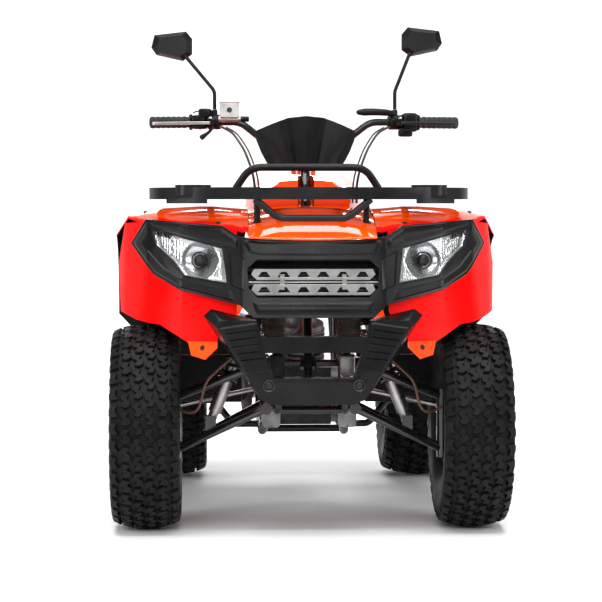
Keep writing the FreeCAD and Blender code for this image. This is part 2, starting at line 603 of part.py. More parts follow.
def front_arms(label, side):
    """Lower and upper A-arms of one side: two legs each from the frame bushes to one eye."""
    bush_x = size.rail_x + size.tube_radius + size.arm_bush_radius + size.seat_gap
    levels = ((size.front_rail_z, size.arm_front, size.arm_rear, size.lower_joint_z),
              (size.upper_arm_z, size.wheelbase / 2 + size.upper_arm_spread,
               size.wheelbase / 2 - size.upper_arm_spread, size.upper_joint_z))
    shapes = []
    for inner_z, front, rear, eye_z in levels:
        eye_foot = kingpin(side, eye_z - size.arm_eye_height / 2)
        eye = Part.makeCylinder(size.boss_radius, size.arm_eye_height, eye_foot)
        pieces = [eye]
        for along in (-front, -rear):
            bush = Vector(side * bush_x, along, inner_z)
            start = bush - AXIS_Y * size.arm_bush_length / 2
            pieces.append(Part.makeCylinder(size.arm_bush_radius, size.arm_bush_length, start, AXIS_Y))
            pieces.append(straight(bush, kingpin(side, eye_z), size.arm_tube_radius))
        shapes.append(joined(pieces))
    lower = shapes[0]
    foot = shock_foot(side)
    out = (abs(foot.x) - bush_x) / (kingpin(LEFT, 0).x - bush_x)
    leg_z = size.front_rail_z + (size.lower_joint_z - size.front_rail_z) * out
    spread = (size.arm_front - size.arm_rear) / 2 * (1 - out)
    cross = Part.makeCylinder(size.arm_cross_radius, 2 * spread, Vector(foot.x, foot.y - spread, leg_z),
                              AXIS_Y)
    ears = []
    for ahead in (LEFT, RIGHT):
        low_y = foot.y + ahead * (size.shock_eye + size.seat_gap) + min(0, ahead) * size.shock_mount_wall
        ears.append(Part.makeBox(2 * size.shock_eye, size.shock_mount_wall, foot.z + size.shock_eye - leg_z,
                                 Vector(foot.x - size.shock_eye, low_y, leg_z)))
    lower = joined([lower, cross] + ears)
    solid_node(label, Part.makeCompound([lower, shapes[1]]))


def shock_foot(side):
    return kingpin(side, size.shock_foot_z) - AXIS_X * side * size.shock_foot_inset


def shock_top(side):
    return Vector(side * size.shock_top_x, -size.wheelbase / 2, size.shock_top_z)


def faceted_coil(radius, tall, wire):
    """A spring of flat facets: six sides round the wire, its turns rising along +Z."""
    steps, sides = int(size.spring_turns * size.spring_steps), int(size.spring_sides)
    points, facets = [], []
    for step in range(steps + 1):
        turn = math.tau * step / size.spring_steps
        for k in range(sides):
            angle = math.tau * k / sides
            reach = radius + wire * math.cos(angle)
            points.append(Vector(reach * math.cos(turn), reach * math.sin(turn),
                                 tall * step / steps + wire * math.sin(angle)))
    for step in range(steps):
        for k in range(sides):
            one, two = step * sides + k, step * sides + (k + 1) % sides
            facets += [(one, two, two + sides), (one, two + sides, one + sides)]
    last = steps * sides
    for k in range(1, sides - 1):
        facets += [(0, k + 1, k), (last, last + k, last + k + 1)]
    return from_facets(points, facets)


def coil_over(foot, top):
    """Damper body below, rod above, with a coil spring between its two seats."""
    run = top - foot
    along = Vector(run).normalize()
    half = size.shock_eye
    pieces = [Part.makeCylinder(half - size.seat_gap, 2 * half, foot - AXIS_Y * half, AXIS_Y),
              Part.makeCylinder(half - size.seat_gap, 2 * half, top - AXIS_Y * half, AXIS_Y),
              Part.makeCylinder(size.damper_radius, run.Length * share.damper,
                                foot + along * half * share.damper_foot, along),
              Part.makeCylinder(size.shock_radius, run.Length - half / 2, foot, along)]
    low, high = run.Length * share.spring_low, run.Length - half * share.spring_high
    pieces.append(Part.makeCylinder(size.spring_radius, size.spring_wire, foot + along * low, along))
    pieces.append(Part.makeCylinder(size.spring_radius, size.spring_wire, foot + along * high, along))
    tall = high - low - 3 * size.spring_wire - 2 * size.fit
    spring = faceted_coil(size.spring_radius - size.spring_wire, tall, size.spring_wire)
    spring.Placement = FreeCAD.Placement(foot + along * (low + 2 * size.spring_wire + size.fit),
                                         Rotation(AXIS_Z, along))
    return joined(pieces), spring


def frame():
    """Welded tube frame: lower rails, upper hoop and rails, uprights, cross tubes, bearings."""
    radius, rail, rear = size.tube_radius, size.rail_x, size.rear_rail_x
    pieces = []
    head, lift = size.upper_front, size.upper_rail_z
    for side, word in SIDES:
        lower = [Vector(side * rail, -head, lift), Vector(side * rail, -rail_front, size.front_rail_z),
                 Vector(side * rail, -size.arm_rear + size.bend, size.front_rail_z),
                 Vector(side * rear, -size.belly_front, size.belly_z),
                 Vector(side * rear, size.belly_back, size.belly_z),
                 Vector(side * rear, size.pivot_y, size.pivot_z),
                 Vector(side * rear, size.upright_y, size.tail_z)]
        upper = [Vector(side * rail, -head, lift), Vector(side * rail, -size.upper_knee, lift),
                 Vector(side * rear, -size.tail_knee, size.tail_z),
                 Vector(side * rear, size.tail_end, size.tail_z)]
        brace = [Vector(side * rear, size.pivot_y + radius, size.pivot_z + radius),
                 Vector(side * rear, size.tail_end - size.bend, size.tail_z)]
        pieces += [tube(lower, radius), tube(upper, radius), straight(brace[0], brace[1], size.brace_radius)]
        pieces.append(Part.makeSphere(radius, Vector(side * rail, -head, lift)))
        ahead_y = -size.wheelbase / 2 - size.upper_arm_spread
        pieces.append(straight(Vector(side * rail, ahead_y, size.front_rail_z),
                               Vector(side * rail, ahead_y, lift), size.brace_radius))
        reach = size.upper_arm_spread + size.arm_bush_length / 2
        pieces.append(straight(Vector(side * rail, -size.wheelbase / 2 - reach, size.upper_arm_z),
                               Vector(side * rail, -size.wheelbase / 2 + reach, size.upper_arm_z),
                               size.tube_radius))
        mount = shock_top(side)
        for ahead in (LEFT, RIGHT):
            low_y = mount.y + ahead * (size.shock_eye + size.seat_gap) + min(0, ahead) * size.shock_mount_wall
            corner = Vector(min(side * rail, mount.x + side * size.shock_eye), low_y,
                            mount.z - size.shock_eye)
            pieces.append(Part.makeBox(abs(mount.x) + size.shock_eye - rail, size.shock_mount_wall,
                                       2 * size.shock_eye, corner))
        pieces.append(Part.makeBox(size.brace_radius, size.upper_arm_spread + size.bend, 2 * size.shock_eye,
                                   Vector(side * rail - size.brace_radius / 2, ahead_y,
                                          mount.z - size.shock_eye)))
        peg_z = size.footwell_z - size.brace_radius - size.fit
        knee = size.peg_inner + size.bend
        pieces.append(tube([Vector(side * rear, size.peg_y, size.belly_z),
                            Vector(side * size.peg_inner, size.peg_y, size.belly_z),
                            Vector(side * knee, size.peg_y, peg_z),
                            Vector(side * (knee + size.peg_length / 2), size.peg_y, peg_z)],
                           size.brace_radius, size.bend / 2))
    crosses = [(rail, -rail_front + size.bend, size.front_rail_z), (rail, -head, lift),
               (rail, -size.arm_rear + size.bend / 2, size.front_rail_z),
               (rear, -size.belly_front + size.bend, size.belly_z),
               (rear, size.belly_back - size.bend, size.belly_z),
               (rear, size.tail_end - radius, size.tail_z), (rear, -size.tail_knee + size.bend, size.tail_z)]
    for half, along, up in crosses:
        pieces.append(straight(Vector(-half, along, up), Vector(half, along, up), size.brace_radius))
    axis, back = column_axes()
    stem_holes = []
    for run in (size.low_bearing_run, size.high_bearing_run):
        middle = column_point(run)
        start = middle - axis * size.bearing_height / 2
        pieces.append(Part.makeCylinder(size.bearing_radius, size.bearing_height, start, axis))
        pieces.append(straight(Vector(-rail, middle.y, middle.z), Vector(rail, middle.y, middle.z),
                               size.arm_cross_radius))
        stem_holes.append(Part.makeCylinder(size.stem_radius + size.bearing_play, 2 * size.bearing_height,
                                            middle - axis * size.bearing_height, axis))
    bar_z = size.rear_shock_top_z + size.shock_eye + size.brace_radius + size.overrun
    rise = (bar_z - size.pivot_z) / (size.tail_z - size.pivot_z)
    bar_at = size.pivot_y + (size.upright_y - size.pivot_y) * rise
    pieces.append(straight(Vector(-rear, bar_at, bar_z), Vector(rear, bar_at, bar_z), size.brace_radius))
    for side, word in SIDES:
        near = side * (size.shock_eye + size.seat_gap) + min(0, side) * size.shock_mount_wall
        ear_y = size.rear_shock_top_y - size.shock_eye
        pieces.append(Part.makeBox(size.shock_mount_wall, bar_at - ear_y,
                                   bar_z - size.rear_shock_top_z + size.shock_eye,
                                   Vector(near, ear_y, size.rear_shock_top_z - size.shock_eye)))
    for side, word in SIDES:
        foot = Vector(side * rail, -size.head_post_y, size.front_rail_z)
        pieces.append(straight(foot, Vector(foot.x, foot.y, size.upper_rail_z), size.arm_cross_radius))
    whole = joined(pieces)
    solid_node("frame", whole.cut(Part.makeCompound(stem_holes)))


def swingarm():
    """Two legs from the pivot tube to the axle carrier, the rear caliper beside the disc."""
    pivot = Vector(0, size.pivot_y, size.pivot_z)
    axle = Vector(0, size.wheelbase / 2, size.rear_tyre_radius)
    half = size.carrier_half
    pivot_half = size.rear_rail_x - size.tube_radius - size.seat_gap
    pieces = [Part.makeCylinder(size.carrier_radius, 2 * half, axle - AXIS_X * half, AXIS_X),
              Part.makeCylinder(size.swing_tube_radius + size.fit, 2 * pivot_half,
                                pivot - AXIS_X * pivot_half, AXIS_X)]
    for side, word in SIDES:
        offset = AXIS_X * side * size.swing_x
        pieces.append(straight(pivot + offset, axle + offset, size.swing_tube_radius))
    foot = Vector(0, size.rear_shock_foot_y, size.rear_shock_foot_z)
    for side, word in SIDES:
        near = side * (size.shock_eye + size.seat_gap) + min(0, side) * size.shock_mount_wall
        pieces.append(Part.makeBox(size.shock_mount_wall, 2 * size.shock_eye,
                                   size.rear_shock_foot_z + size.shock_eye - size.pivot_z + size.shock_eye,
                                   Vector(near, foot.y - size.shock_eye,
                                          size.pivot_z - size.shock_eye - size.swing_tube_radius)))
    pieces.append(Part.makeBox(2 * size.swing_x, 2 * size.swing_tube_radius, size.swing_tube_radius,
                               Vector(-size.swing_x, foot.y - size.swing_tube_radius,
                                      size.pivot_z - 2 * size.swing_tube_radius)))
    outer = size.rear_disc_x + size.caliper_depth / 2
    near = size.rear_disc_radius - size.caliper_reach
    plate_x = half + size.caliper_plate
    caliper = Part.makeBox(outer - plate_x + size.fit, size.rear_caliper_length,
                           size.caliper_depth + size.caliper_reach,
                           axle + Vector(-outer, -size.rear_caliper_length / 2, near))
    slot_wide = size.disc_wall + 2 * size.caliper_gap
    slot = Part.makeCylinder(size.rear_disc_radius + size.caliper_gap, slot_wide,
                             axle - AXIS_X * (size.rear_disc_x + slot_wide / 2), AXIS_X)
    bracket = Part.makeBox(size.caliper_plate + size.caliper_gap, size.rear_caliper_length,
                           near + size.caliper_depth,
                           axle + Vector(-plate_x, -size.rear_caliper_length / 2, 0))
    pieces += [caliper.cut(slot), bracket]
    bore = Part.makeCylinder(size.axle_radius + size.bearing_play, 4 * half, axle - AXIS_X * 2 * half, AXIS_X)
    solid_node("swingarm", joined(pieces).cut(bore))


def shocks():
    pairs = [coil_over(shock_foot(side), shock_top(side)) for side, word in SIDES]
    solid_node("front_shocks", Part.makeCompound([shape for pair in pairs for shape in pair]))
    top = Vector(0, size.rear_shock_top_y, size.rear_shock_top_z)
    foot = Vector(0, size.rear_shock_foot_y, size.rear_shock_foot_z)
    turn = Rotation(AXIS_Z, QUARTER)
    damper, spring = coil_over(turn.inverted().multVec(foot), turn.inverted().multVec(top))
    for shape in (damper, spring):
        shape.rotate(Vector(), AXIS_Z, QUARTER)
    solid_node("rear_shock", Part.makeCompound([damper, spring]))


def belt(radius_one, radius_two, wall):
    """The solid inside the two tangents round both sprockets."""
    one = Vector(size.sprocket_x - wall / 2, size.drive_sprocket_y, size.drive_sprocket_z)
    two = Vector(size.sprocket_x - wall / 2, size.wheelbase / 2, size.rear_tyre_radius)
    run = two - one
    swing = math.acos((radius_one - radius_two) / run.Length)
    base = math.atan2(run.z, run.y)
    ends = []
    for sign in (1, -1):
        angle = base + sign * swing
        out = Vector(0, math.cos(angle), math.sin(angle))
        ends.append((one + out * radius_one, two + out * radius_two))
    back = Vector(0, -math.cos(base), -math.sin(base))
    edges = [Part.LineSegment(ends[0][0], ends[0][1]).toShape(),
             Part.Arc(ends[0][1], two - back * radius_two, ends[1][1]).toShape(),
             Part.LineSegment(ends[1][1], ends[1][0]).toShape(),
             Part.Arc(ends[1][0], one + back * radius_one, ends[0][0]).toShape()]
    return Part.Face(Part.Wire(edges)).extrude(AXIS_X * wall), edges


def chain():
    """One closed loop with its side plates; it clears the teeth and the drive sprocket."""
    rise = size.chain_height / 2
    small = size.drive_sprocket_radius + size.caliper_gap + rise
    large = size.sprocket_radius + size.caliper_gap + rise
    outer, edges = belt(small + rise, large + rise, size.chain_wall)
    inner, edges = belt(small - rise, large - rise, size.chain_wall)
    loop = outer.cut(inner)
    middle, edges = belt(small, large, size.plate_wall)
    path = Part.Wire(edges)
    places = path.discretize(Number=int(size.plate_count) + 1)[:-1]
    plates = []
    for index, place in enumerate(places):
        ahead = places[(index + 1) % len(places)]
        behind = places[index - 1]
        along = ahead - behind
        angle = math.degrees(math.atan2(along.z, along.y))
        plate = Part.makeBox(size.plate_wall, size.plate_length, size.chain_height + size.caliper_gap,
                             Vector(0, -size.plate_length / 2, -rise))
        plate.rotate(Vector(), AXIS_X, angle)
        plate.translate(place)
        plates.append(plate)
    solid_node("chain", joined([loop] + plates))


def engine():
    """Crankcase with round side covers, leaning finned cylinder, head, intake and drive sprocket."""
    case_top = "engine_bottom + engine_height"
    parts = [block("crankcase", ("engine_width - 2 * cover_wall", "engine_length", "engine_height"),
                   ("-engine_width / 2 + cover_wall", "engine_y - engine_length / 2", "engine_bottom"))]
    ahead = f"-engine_length * {share.side_cover_place}"
    behind = f"engine_length * {share.rear_cover_place}"
    for side, along in ((LEFT, ahead), (RIGHT, ahead), (RIGHT, behind)):
        start = "engine_width / 2 - cover_wall" if side == LEFT else "-engine_width / 2"
        shrink = " - cover_wall" if along == behind else ""
        parts.append(rod("cover", "cover_radius" + shrink, "cover_wall + fit",
                         (start + (" - fit" if side == LEFT else ""), "engine_y + " + along,
                          "engine_bottom + engine_height / 2"), "x"))
    lean = Rotation(AXIS_X, size.cylinder_lean_angle)
    pitch = "cylinder_height / (fin_count - 1)"
    stack = [("barrel", "cylinder_radius", "cylinder_height + fit", "0")]
    stack += [("fin", "fin_radius", "fin_wall", f"{k} * {pitch}") for k in range(int(size.fin_count))]
    stack += [("head", "fin_radius - fin_wall", "head_height / 3", "cylinder_height"),
              ("cam_cover", "cylinder_radius", "head_height", "cylinder_height")]
    for name, radius, tall, lift in stack:
        item = rod(name, radius, tall, ("0", "0", "0"))
        item.Placement.Rotation = lean
        tilt = "cylinder_lean_angle"
        bind(item, Placement__Base__y=f"engine_y - engine_length / 4 - sin({tilt} * 1deg) * {lift}",
             Placement__Base__z=f"{case_top} - fit + cos({tilt} * 1deg) * {lift}")
        parts.append(item)
    parts.append(rod("intake", "intake_radius", "intake_length",
                     ("0", "engine_y - engine_length / 4 + cylinder_radius - fin_wall",
                      f"{case_top} + cylinder_height * {share.intake_level}"), "y"))
    parts.append(rod("sprocket_shaft", "drive_sprocket_radius / 2", "sprocket_x",
                     ("0", "drive_sprocket_y", "drive_sprocket_z"), "x"))
    parts.append(rod("output_case", "drive_sprocket_radius + 2 * sprocket_wall",
                     "engine_width / 2 - cover_wall - overrun",
                     ("0", "drive_sprocket_y", "drive_sprocket_z"), "x"))
    parts.append(rod("drive_sprocket", "drive_sprocket_radius", "sprocket_wall",
                     ("sprocket_x - sprocket_wall / 2", "drive_sprocket_y", "drive_sprocket_z"), "x"))
    head_y = "engine_y - engine_length / 4 - sin(cylinder_lean_angle * 1deg) * cylinder_height"
    parts.append(rod("port", "header_radius + fit", "fin_radius",
                     ("0", head_y + " - fin_radius - running_gap", case_top + " + cylinder_height"), "y"))
    fused("engine", parts)


def exhaust():
    """Header from the front of the head, under the footwell to the muffler at the right rear."""
    lean = math.radians(size.cylinder_lean_angle)
    top = size.engine_bottom + size.engine_height + size.cylinder_height
    front = (size.engine_y - size.engine_length / 4 - math.sin(lean) * size.cylinder_height
             - size.fin_radius - size.running_gap - size.seat_gap)
    start = Vector(0, front, top)
    radius, low = size.header_radius, size.header_z
    side_x = -size.rear_rail_x - size.tube_radius - 2 * radius
    points = [start, start - AXIS_Y * size.header_reach,
              Vector(side_x, start.y - size.header_reach, low + size.bend),
              Vector(side_x, start.y + size.bend, low), Vector(side_x, size.belly_back, low),
              Vector(size.muffler_x, size.muffler_y - 2 * size.bend, size.muffler_z),
              Vector(size.muffler_x, size.muffler_y + size.bend, size.muffler_z)]
    pipe = tube(points, radius)
    muffler = Vector(size.muffler_x, size.muffler_y, size.muffler_z)
    can = Part.makeCylinder(size.muffler_radius, size.muffler_length, muffler, AXIS_Y)
    tip = Part.makeCylinder(radius, size.muffler_length + 2 * radius, muffler, AXIS_Y)
    rail_side = -size.rear_rail_x - size.tube_radius
    hanger_top = size.tail_z - size.tube_radius - size.seat_gap
    middle_y = size.muffler_y + size.muffler_length / 2
    plate = Part.makeBox(size.hanger_wall, size.rack_slat, hanger_top - size.muffler_z,
                         Vector(rail_side - 2 * size.hanger_wall, middle_y, size.muffler_z))
    hook = Part.makeBox(2 * size.hanger_wall + size.tube_radius, size.rack_slat, size.hanger_wall,
                        Vector(rail_side - 2 * size.hanger_wall, middle_y, hanger_top - size.hanger_wall))
    hanger = plate.fuse(hook)
    solid_node("exhaust", joined([pipe, can, tip, hanger]))


def front_plate(outline):
    """Both halves of an outline given for the left half, from the middle out and back in."""
    return outline + [Vector(-p.x, p.y, p.z) for p in reversed(outline) if p.x > 0]


MASK_SHARES = ((0, 0), (0.323, 0), (0.393, 0.127), (0.716, 0.269), (0.867, 0.425), (1, 0.739),
               (0.912, 1), (0.489, 0.937), (0.395, 0.825), (0.28, 0.795), (0, 0.78))
LAMP_SHARES = ((0.458, 0.34), (0.695, 0.414), (0.75, 0.556), (0.849, 0.72), (0.873, 0.9), (0.483, 0.709))
GRILLE_SHARES = ((0, 0.205), (0.3, 0.205), (0.346, 0.3), (0.352, 0.5), (0.3, 0.59), (0, 0.59))
PLAN_SHARES = ((0, 0), (0.37, 0.03), (0.7, 0.29), (0.88, 0.55), (1.01, 1))
FENDER_PLAN_SHARES = PLAN_SHARES + ((1.055, 1.2), (1.1, 1.32))


def mask_points(shares, along):
    return [Vector(across * size.mask_half_width, along, size.mask_bottom + up * size.mask_height)
            for across, up in shares]


def swept_wall(front, wall, plan_shares=PLAN_SHARES, crown=0):
    """The V-shaped wall that the mask and lamps are cut from; its top leans back."""
    low, high = size.mask_bottom - size.overrun, size.mask_bottom + size.mask_height + size.overrun
    slope = size.mask_lean / (high - low)
    wires = []
    for level in (low - crown, high + crown):
        lean = (level - low) * slope
        line = [Vector(across * size.mask_half_width * share.wall_end,
                       front - size.mask_reach + lean + back * size.mask_sweep, level)
                for across, back in plan_shares]
        line = [Vector(-p.x, p.y, p.z) for p in reversed(line) if p.x > 0] + line
        rear = [p + AXIS_Y * wall for p in reversed(line)]
        wires.append(polygon(line + rear))
    return Part.makeLoft(wires, True, True)


def through_front(shares, mirror=True):
    """An outline of the front view carried through the whole depth of the mask."""
    half = mask_points(shares, -size.mask_reach - size.mask_sweep)
    points = front_plate(half) if mirror else half
    return prism(points, AXIS_Y * 3 * size.mask_sweep)


def inset(shape_shares, gap):
    """The outline's points drawn in towards its middle by the gap."""
    middle_x = sum(p[0] for p in shape_shares) / len(shape_shares)
    middle_z = sum(p[1] for p in shape_shares) / len(shape_shares)
    out = []
    for across, up in shape_shares:
        run_x = (across - middle_x) * size.mask_half_width
        run_z = (up - middle_z) * size.mask_height
        far = math.hypot(run_x, run_z)
        drawn = gap * share.mitre / far
        out.append((across - drawn * run_x / size.mask_half_width, up - drawn * run_z / size.mask_height))
    return out


def front_face():
    """Mask with its grille and lamp openings, lamp housings with bowl and bulb, and clear lenses."""
    wall = swept_wall(0, size.mask_wall)
    mask = wall.common(through_front(MASK_SHARES)).cut(through_front(GRILLE_SHARES))
    lamp = through_front(LAMP_SHARES, False)
    mask = mask.cut(Part.makeCompound([lamp, mirrored(lamp)]))
    solid_node("front_mask", mask)
    body = through_front(inset(LAMP_SHARES, size.lamp_gap), False)
    lens = swept_wall(size.lens_inset, size.lens_wall).common(body)
    housing = swept_wall(size.lens_inset + size.lens_wall, size.lamp_depth).common(body)
    middle = Vector(size.lamp_x, 0, size.lamp_z)
    (near_x, near_back), (far_x, far_back) = PLAN_SHARES[1:3]
    out = (size.lamp_x / size.mask_half_width - near_x) / (far_x - near_x)
    back = near_back + out * (far_back - near_back)
    middle.y = -size.mask_reach + back * size.mask_sweep + size.mask_lean / 2 + size.lens_wall
    bowl = Part.makeCone(size.bowl_radius, size.bulb_radius, size.bowl_depth + size.bulb_depth,
                         middle - AXIS_Y * size.bulb_depth, AXIS_Y)
    bulb = Part.makeCylinder(size.bulb_radius - size.bulb_wall, size.bulb_depth + size.overrun,
                             middle + AXIS_Y * (size.bowl_depth - size.bulb_depth / 2), AXIS_Y)
    lamp_body = housing.cut(bowl).fuse(bulb).removeSplitter()
    solid_node("headlamps", Part.makeCompound([lamp_body, mirrored(lamp_body)]))
    solid_node("headlamp_lenses", Part.makeCompound([lens, mirrored(lens)]))


def grille():
    """Two louvre plates with triangular cut-outs, joined by posts, between the sides of the mask."""
    half, tall = size.grille_half_width, size.grille_plate_height
    front = size.grille_set - size.mask_reach
    pieces = []
    for level in (0, 1):
        low = size.grille_z + level * (tall + size.grille_gap)
        chamfer = tall / 2
        points = [Vector(-half + chamfer, front, low), Vector(half - chamfer, front, low),
                  Vector(half, front, low + tall / 2), Vector(half - chamfer / 2, front, low + tall),
                  Vector(-half + chamfer / 2, front, low + tall), Vector(-half, front, low + tall / 2)]
        plate = prism(points, AXIS_Y * size.grille_wall)
        holes = []
        for k in range(int(size.grille_holes)):
            middle = (k - (size.grille_holes - 1) / 2) * size.grille_pitch
            foot = Vector(middle, front - size.overrun, low + (tall - size.grille_hole_height) / 2)
            wide = AXIS_X * size.grille_hole_width / 2
            narrow = AXIS_X * size.grille_hole_width * share.hole_top
            top = foot + AXIS_Z * size.grille_hole_height
            holes.append(prism([foot - wide, foot + wide, top + narrow, top - narrow],
                               AXIS_Y * (size.grille_wall + 2 * size.overrun)))
        pieces.append(plate.cut(Part.makeCompound(holes)))
    for across in (-half / 2, half / 2):
        pieces.append(Part.makeBox(size.grille_post_width, size.grille_wall, tall + size.grille_gap,
                                   Vector(across - size.grille_post_width / 2, front + size.grille_wall,
                                          size.grille_z + tall / 2)))
    low = size.grille_z + tall + (size.grille_gap - size.grille_wall) / 2
    (low_x, low_up), (high_x, high_up) = GRILLE_SHARES[2:4]
    rise = ((low - size.mask_bottom) / size.mask_height - low_up) / (high_up - low_up)
    reach = (low_x + (high_x - low_x) * rise) * size.mask_half_width - size.fit
    pieces.append(Part.makeBox(2 * reach, size.grille_wall, size.grille_wall,
                               Vector(-reach, front + size.grille_wall, low)))
    solid_node("grille", joined(pieces))


BUMPER_WING_SHARES = ((0.4, 0.02), (0.48, 0.05), (0.56, 0.17), (1, 0.917), (0.925, 0.985),
                      (0.517, 0.872), (0.46, 0.605), (0.334, 0.2))
BUMPER_FACE_SHARES = ((0.4, 0.02), (0.46, 0.05), (0.53, 0.17), (0.876, 0.8), (0.849, 0.87),
                      (0.517, 0.87), (0.46, 0.605), (0.334, 0.2))
SKID_SHARES = ((0, 0), (0.38, 0), (0.43, 0.06), (0.45, 0.28), (0, 0.28))
BUMPER_BAR_SHARES = ((0, 0.543), (0.5, 0.543), (0.52, 0.707), (0, 0.707))


def bumper_points(shares):
    return [Vector(across * size.bumper_half_width, -size.bumper_reach,
                   size.bumper_bottom + up * size.bumper_height)
            for across, up in shares]


def bumper():
    """Two upright wings joined by a cross bar and the skid panel, on four lugs to the frame."""
    depth = AXIS_Y * size.bumper_depth
    back = [point + depth for point in bumper_points(BUMPER_WING_SHARES)]
    wing = Part.makeLoft([polygon(bumper_points(BUMPER_FACE_SHARES)), polygon(back)], True, True)
    pieces = [wing, mirrored(wing), prism(front_plate(bumper_points(SKID_SHARES)), depth),
              prism(front_plate(bumper_points(BUMPER_BAR_SHARES)), depth)]
    for side, word in SIDES:
        for level in (size.bumper_bolt_z, size.bumper_bottom + size.bumper_height * share.lug_level):
            lug = size.bumper_lug_width
            start = -size.bumper_reach + size.bumper_depth - size.overrun
            slope = (rail_front - size.upper_front) / (size.upper_rail_z - size.front_rail_z)
            tube_y = -rail_front + slope * (level - lug / 2 - size.front_rail_z)
            end = tube_y - size.tube_radius * math.hypot(1, slope) - size.fit
            pieces.append(Part.makeBox(lug, end - start, lug,
                                       Vector(side * size.rail_x - lug / 2, start, level - lug / 2)))
    whole = joined(pieces)
    edge = [Vector(0, -size.bumper_reach - size.overrun, size.bumper_bottom - size.overrun),
            Vector(0, -size.bumper_reach + size.bumper_depth * share.skid_bevel,
                   size.bumper_bottom - size.overrun),
            Vector(0, -size.bumper_reach - size.overrun,
                   size.bumper_bottom + size.bumper_height * share.skid_rise)]
    cutter = prism([p - AXIS_X * 2 * size.bumper_half_width for p in edge],
                   AXIS_X * 4 * size.bumper_half_width)
    holes = [Part.makeCylinder(size.bumper_bolt_radius,
                               size.bumper_bolt_depth + size.overrun + size.bumper_depth / 2,
                               Vector(side * size.bumper_bolt_x, -size.bumper_reach - size.overrun,
                                      size.bumper_bolt_z), AXIS_Y)
             for side, word in SIDES]
    solid_node("bumper", whole.cut(Part.makeCompound([cutter] + holes)))


SLAT_SHARES = (-0.62, -0.2, 0.2, 0.62)
REAR_SLAT_SHARES = (-0.75, -0.5, -0.25, 0, 0.25, 0.5, 0.75)
RACK_SHARES = ((0, 0), (0.36, 0), (0.72, 0.16), (0.93, 0.42), (1, 0.66), (1, 0.88), (0.93, 1), (0, 1))


def ring_plate(shares, half_width, front, back, top, height, bar):
    """A flat-sided ring in plan, as wide as the bar, under the given top."""
    def loop(cut):
        points = []
        for across, along in shares:
            y = front + along * (back - front)
            points.append(Vector(across * (half_width - cut), y + cut * (1 - 2 * along), top - height))
        return prism(front_plate(points), AXIS_Z * height)
    return loop(0).cut(loop(bar))


def front_rack():
    """Front carrier: ring, slats, raised hoop behind, hanging loop and posts in front."""
    front, back, top = -size.rack_reach, -size.rack_back, size.rack_top
    low = top - size.rack_height
    pieces = [ring_plate(RACK_SHARES, size.rack_half_width, front, back, top, size.rack_height,
                         size.rack_bar)]
    for k in range(int(size.rack_slats)):
        along = front + (back - front) * (k + 1) / (size.rack_slats + 1)
        half = size.rack_half_width * (share.long_slat if k else share.short_slat)
        pieces.append(Part.makeBox(2 * half, size.rack_slat, size.rack_slat_wall,
                                   Vector(-half, along - size.rack_slat / 2, low + size.rack_slat_wall)))
    for place in SLAT_SHARES:
        across = place * size.rack_half_width
        pieces.append(Part.makeBox(size.rack_slat, back - front - 4 * size.rack_bar, size.rack_slat_wall,
                                   Vector(across - size.rack_slat / 2, front + 3 * size.rack_bar,
                                          low + size.rack_slat_wall)))
    skirt = ring_plate(RACK_SHARES, size.rack_half_width, front, back, low + size.fit,
                       size.rack_skirt + size.fit, size.rack_bar)
    for side, word in SIDES:
        corner = Vector(min(side * size.skirt_inner, side * size.skirt_outer), front, low - size.rack_skirt)
        pieces.append(skirt.common(Part.makeBox(size.skirt_outer - size.skirt_inner, (back - front) / 2,
                                                size.rack_skirt + size.fit, corner)))
        place = Vector(side * size.knob_x, -size.pad_y, low + size.rack_slat_wall)
        tall = size.rack_height - size.rack_slat_wall + size.pad_rise
        pad = Part.makeCylinder(size.pad_radius, tall, place)
        pieces.append(pad.cut(Part.makeCylinder(size.pad_radius - size.pad_wall, tall, place)))
    face = front + size.rack_bar / 2
    wide, deep = size.loop_half_width, size.loop_drop
    narrow = wide * share.loop_foot
    pieces.append(tube([Vector(-wide, face, low + size.fit), Vector(-narrow, face, low - deep),
                        Vector(narrow, face, low - deep), Vector(wide, face, low + size.fit)],
                       size.loop_radius, size.loop_drop))
    wide, foot_y = size.hoop_half_width, back - size.rack_bar / 2
    narrow, head_y = wide * share.hoop_top, foot_y - size.rack_bar
    pieces.append(tube([Vector(-wide, foot_y, top - size.fit), Vector(-narrow, head_y, top + size.hoop_rise),
                        Vector(narrow, head_y, top + size.hoop_rise), Vector(wide, foot_y, top - size.fit)],
                       size.hoop_radius))
    for side, word in SIDES:
        post = [Vector(side * size.post_x, -size.upper_front - size.rack_bar, low + size.fit),
                Vector(side * size.post_x, -size.upper_front - size.rack_bar, size.hood_low - size.bend / 2),
                Vector(side * (size.rail_x + size.tube_radius + size.post_radius + size.seat_gap),
                       -size.upper_front + size.rack_bar, size.upper_rail_z)]
        pieces.append(tube(post, size.post_radius))
        pieces.append(Part.makeBox(size.rack_slat, 4 * size.rack_bar, size.rack_slat_wall,
                                   Vector(side * size.post_x - size.rack_slat / 2, front, low)))
        pieces.append(Part.makeCylinder(size.knob_radius,
                                        low + size.rack_slat_wall - size.fender_top - size.overrun,
                                        Vector(side * size.knob_x, -size.pad_y,
                                               low + size.rack_slat_wall), AXIS_Z * -1))
    solid_node("front_rack", joined(pieces))


REAR_RACK_SHARES = ((0, 0), (0.9, 0), (1, 0.12), (1, 0.7), (0.86, 0.95), (0.3, 1), (0, 1))


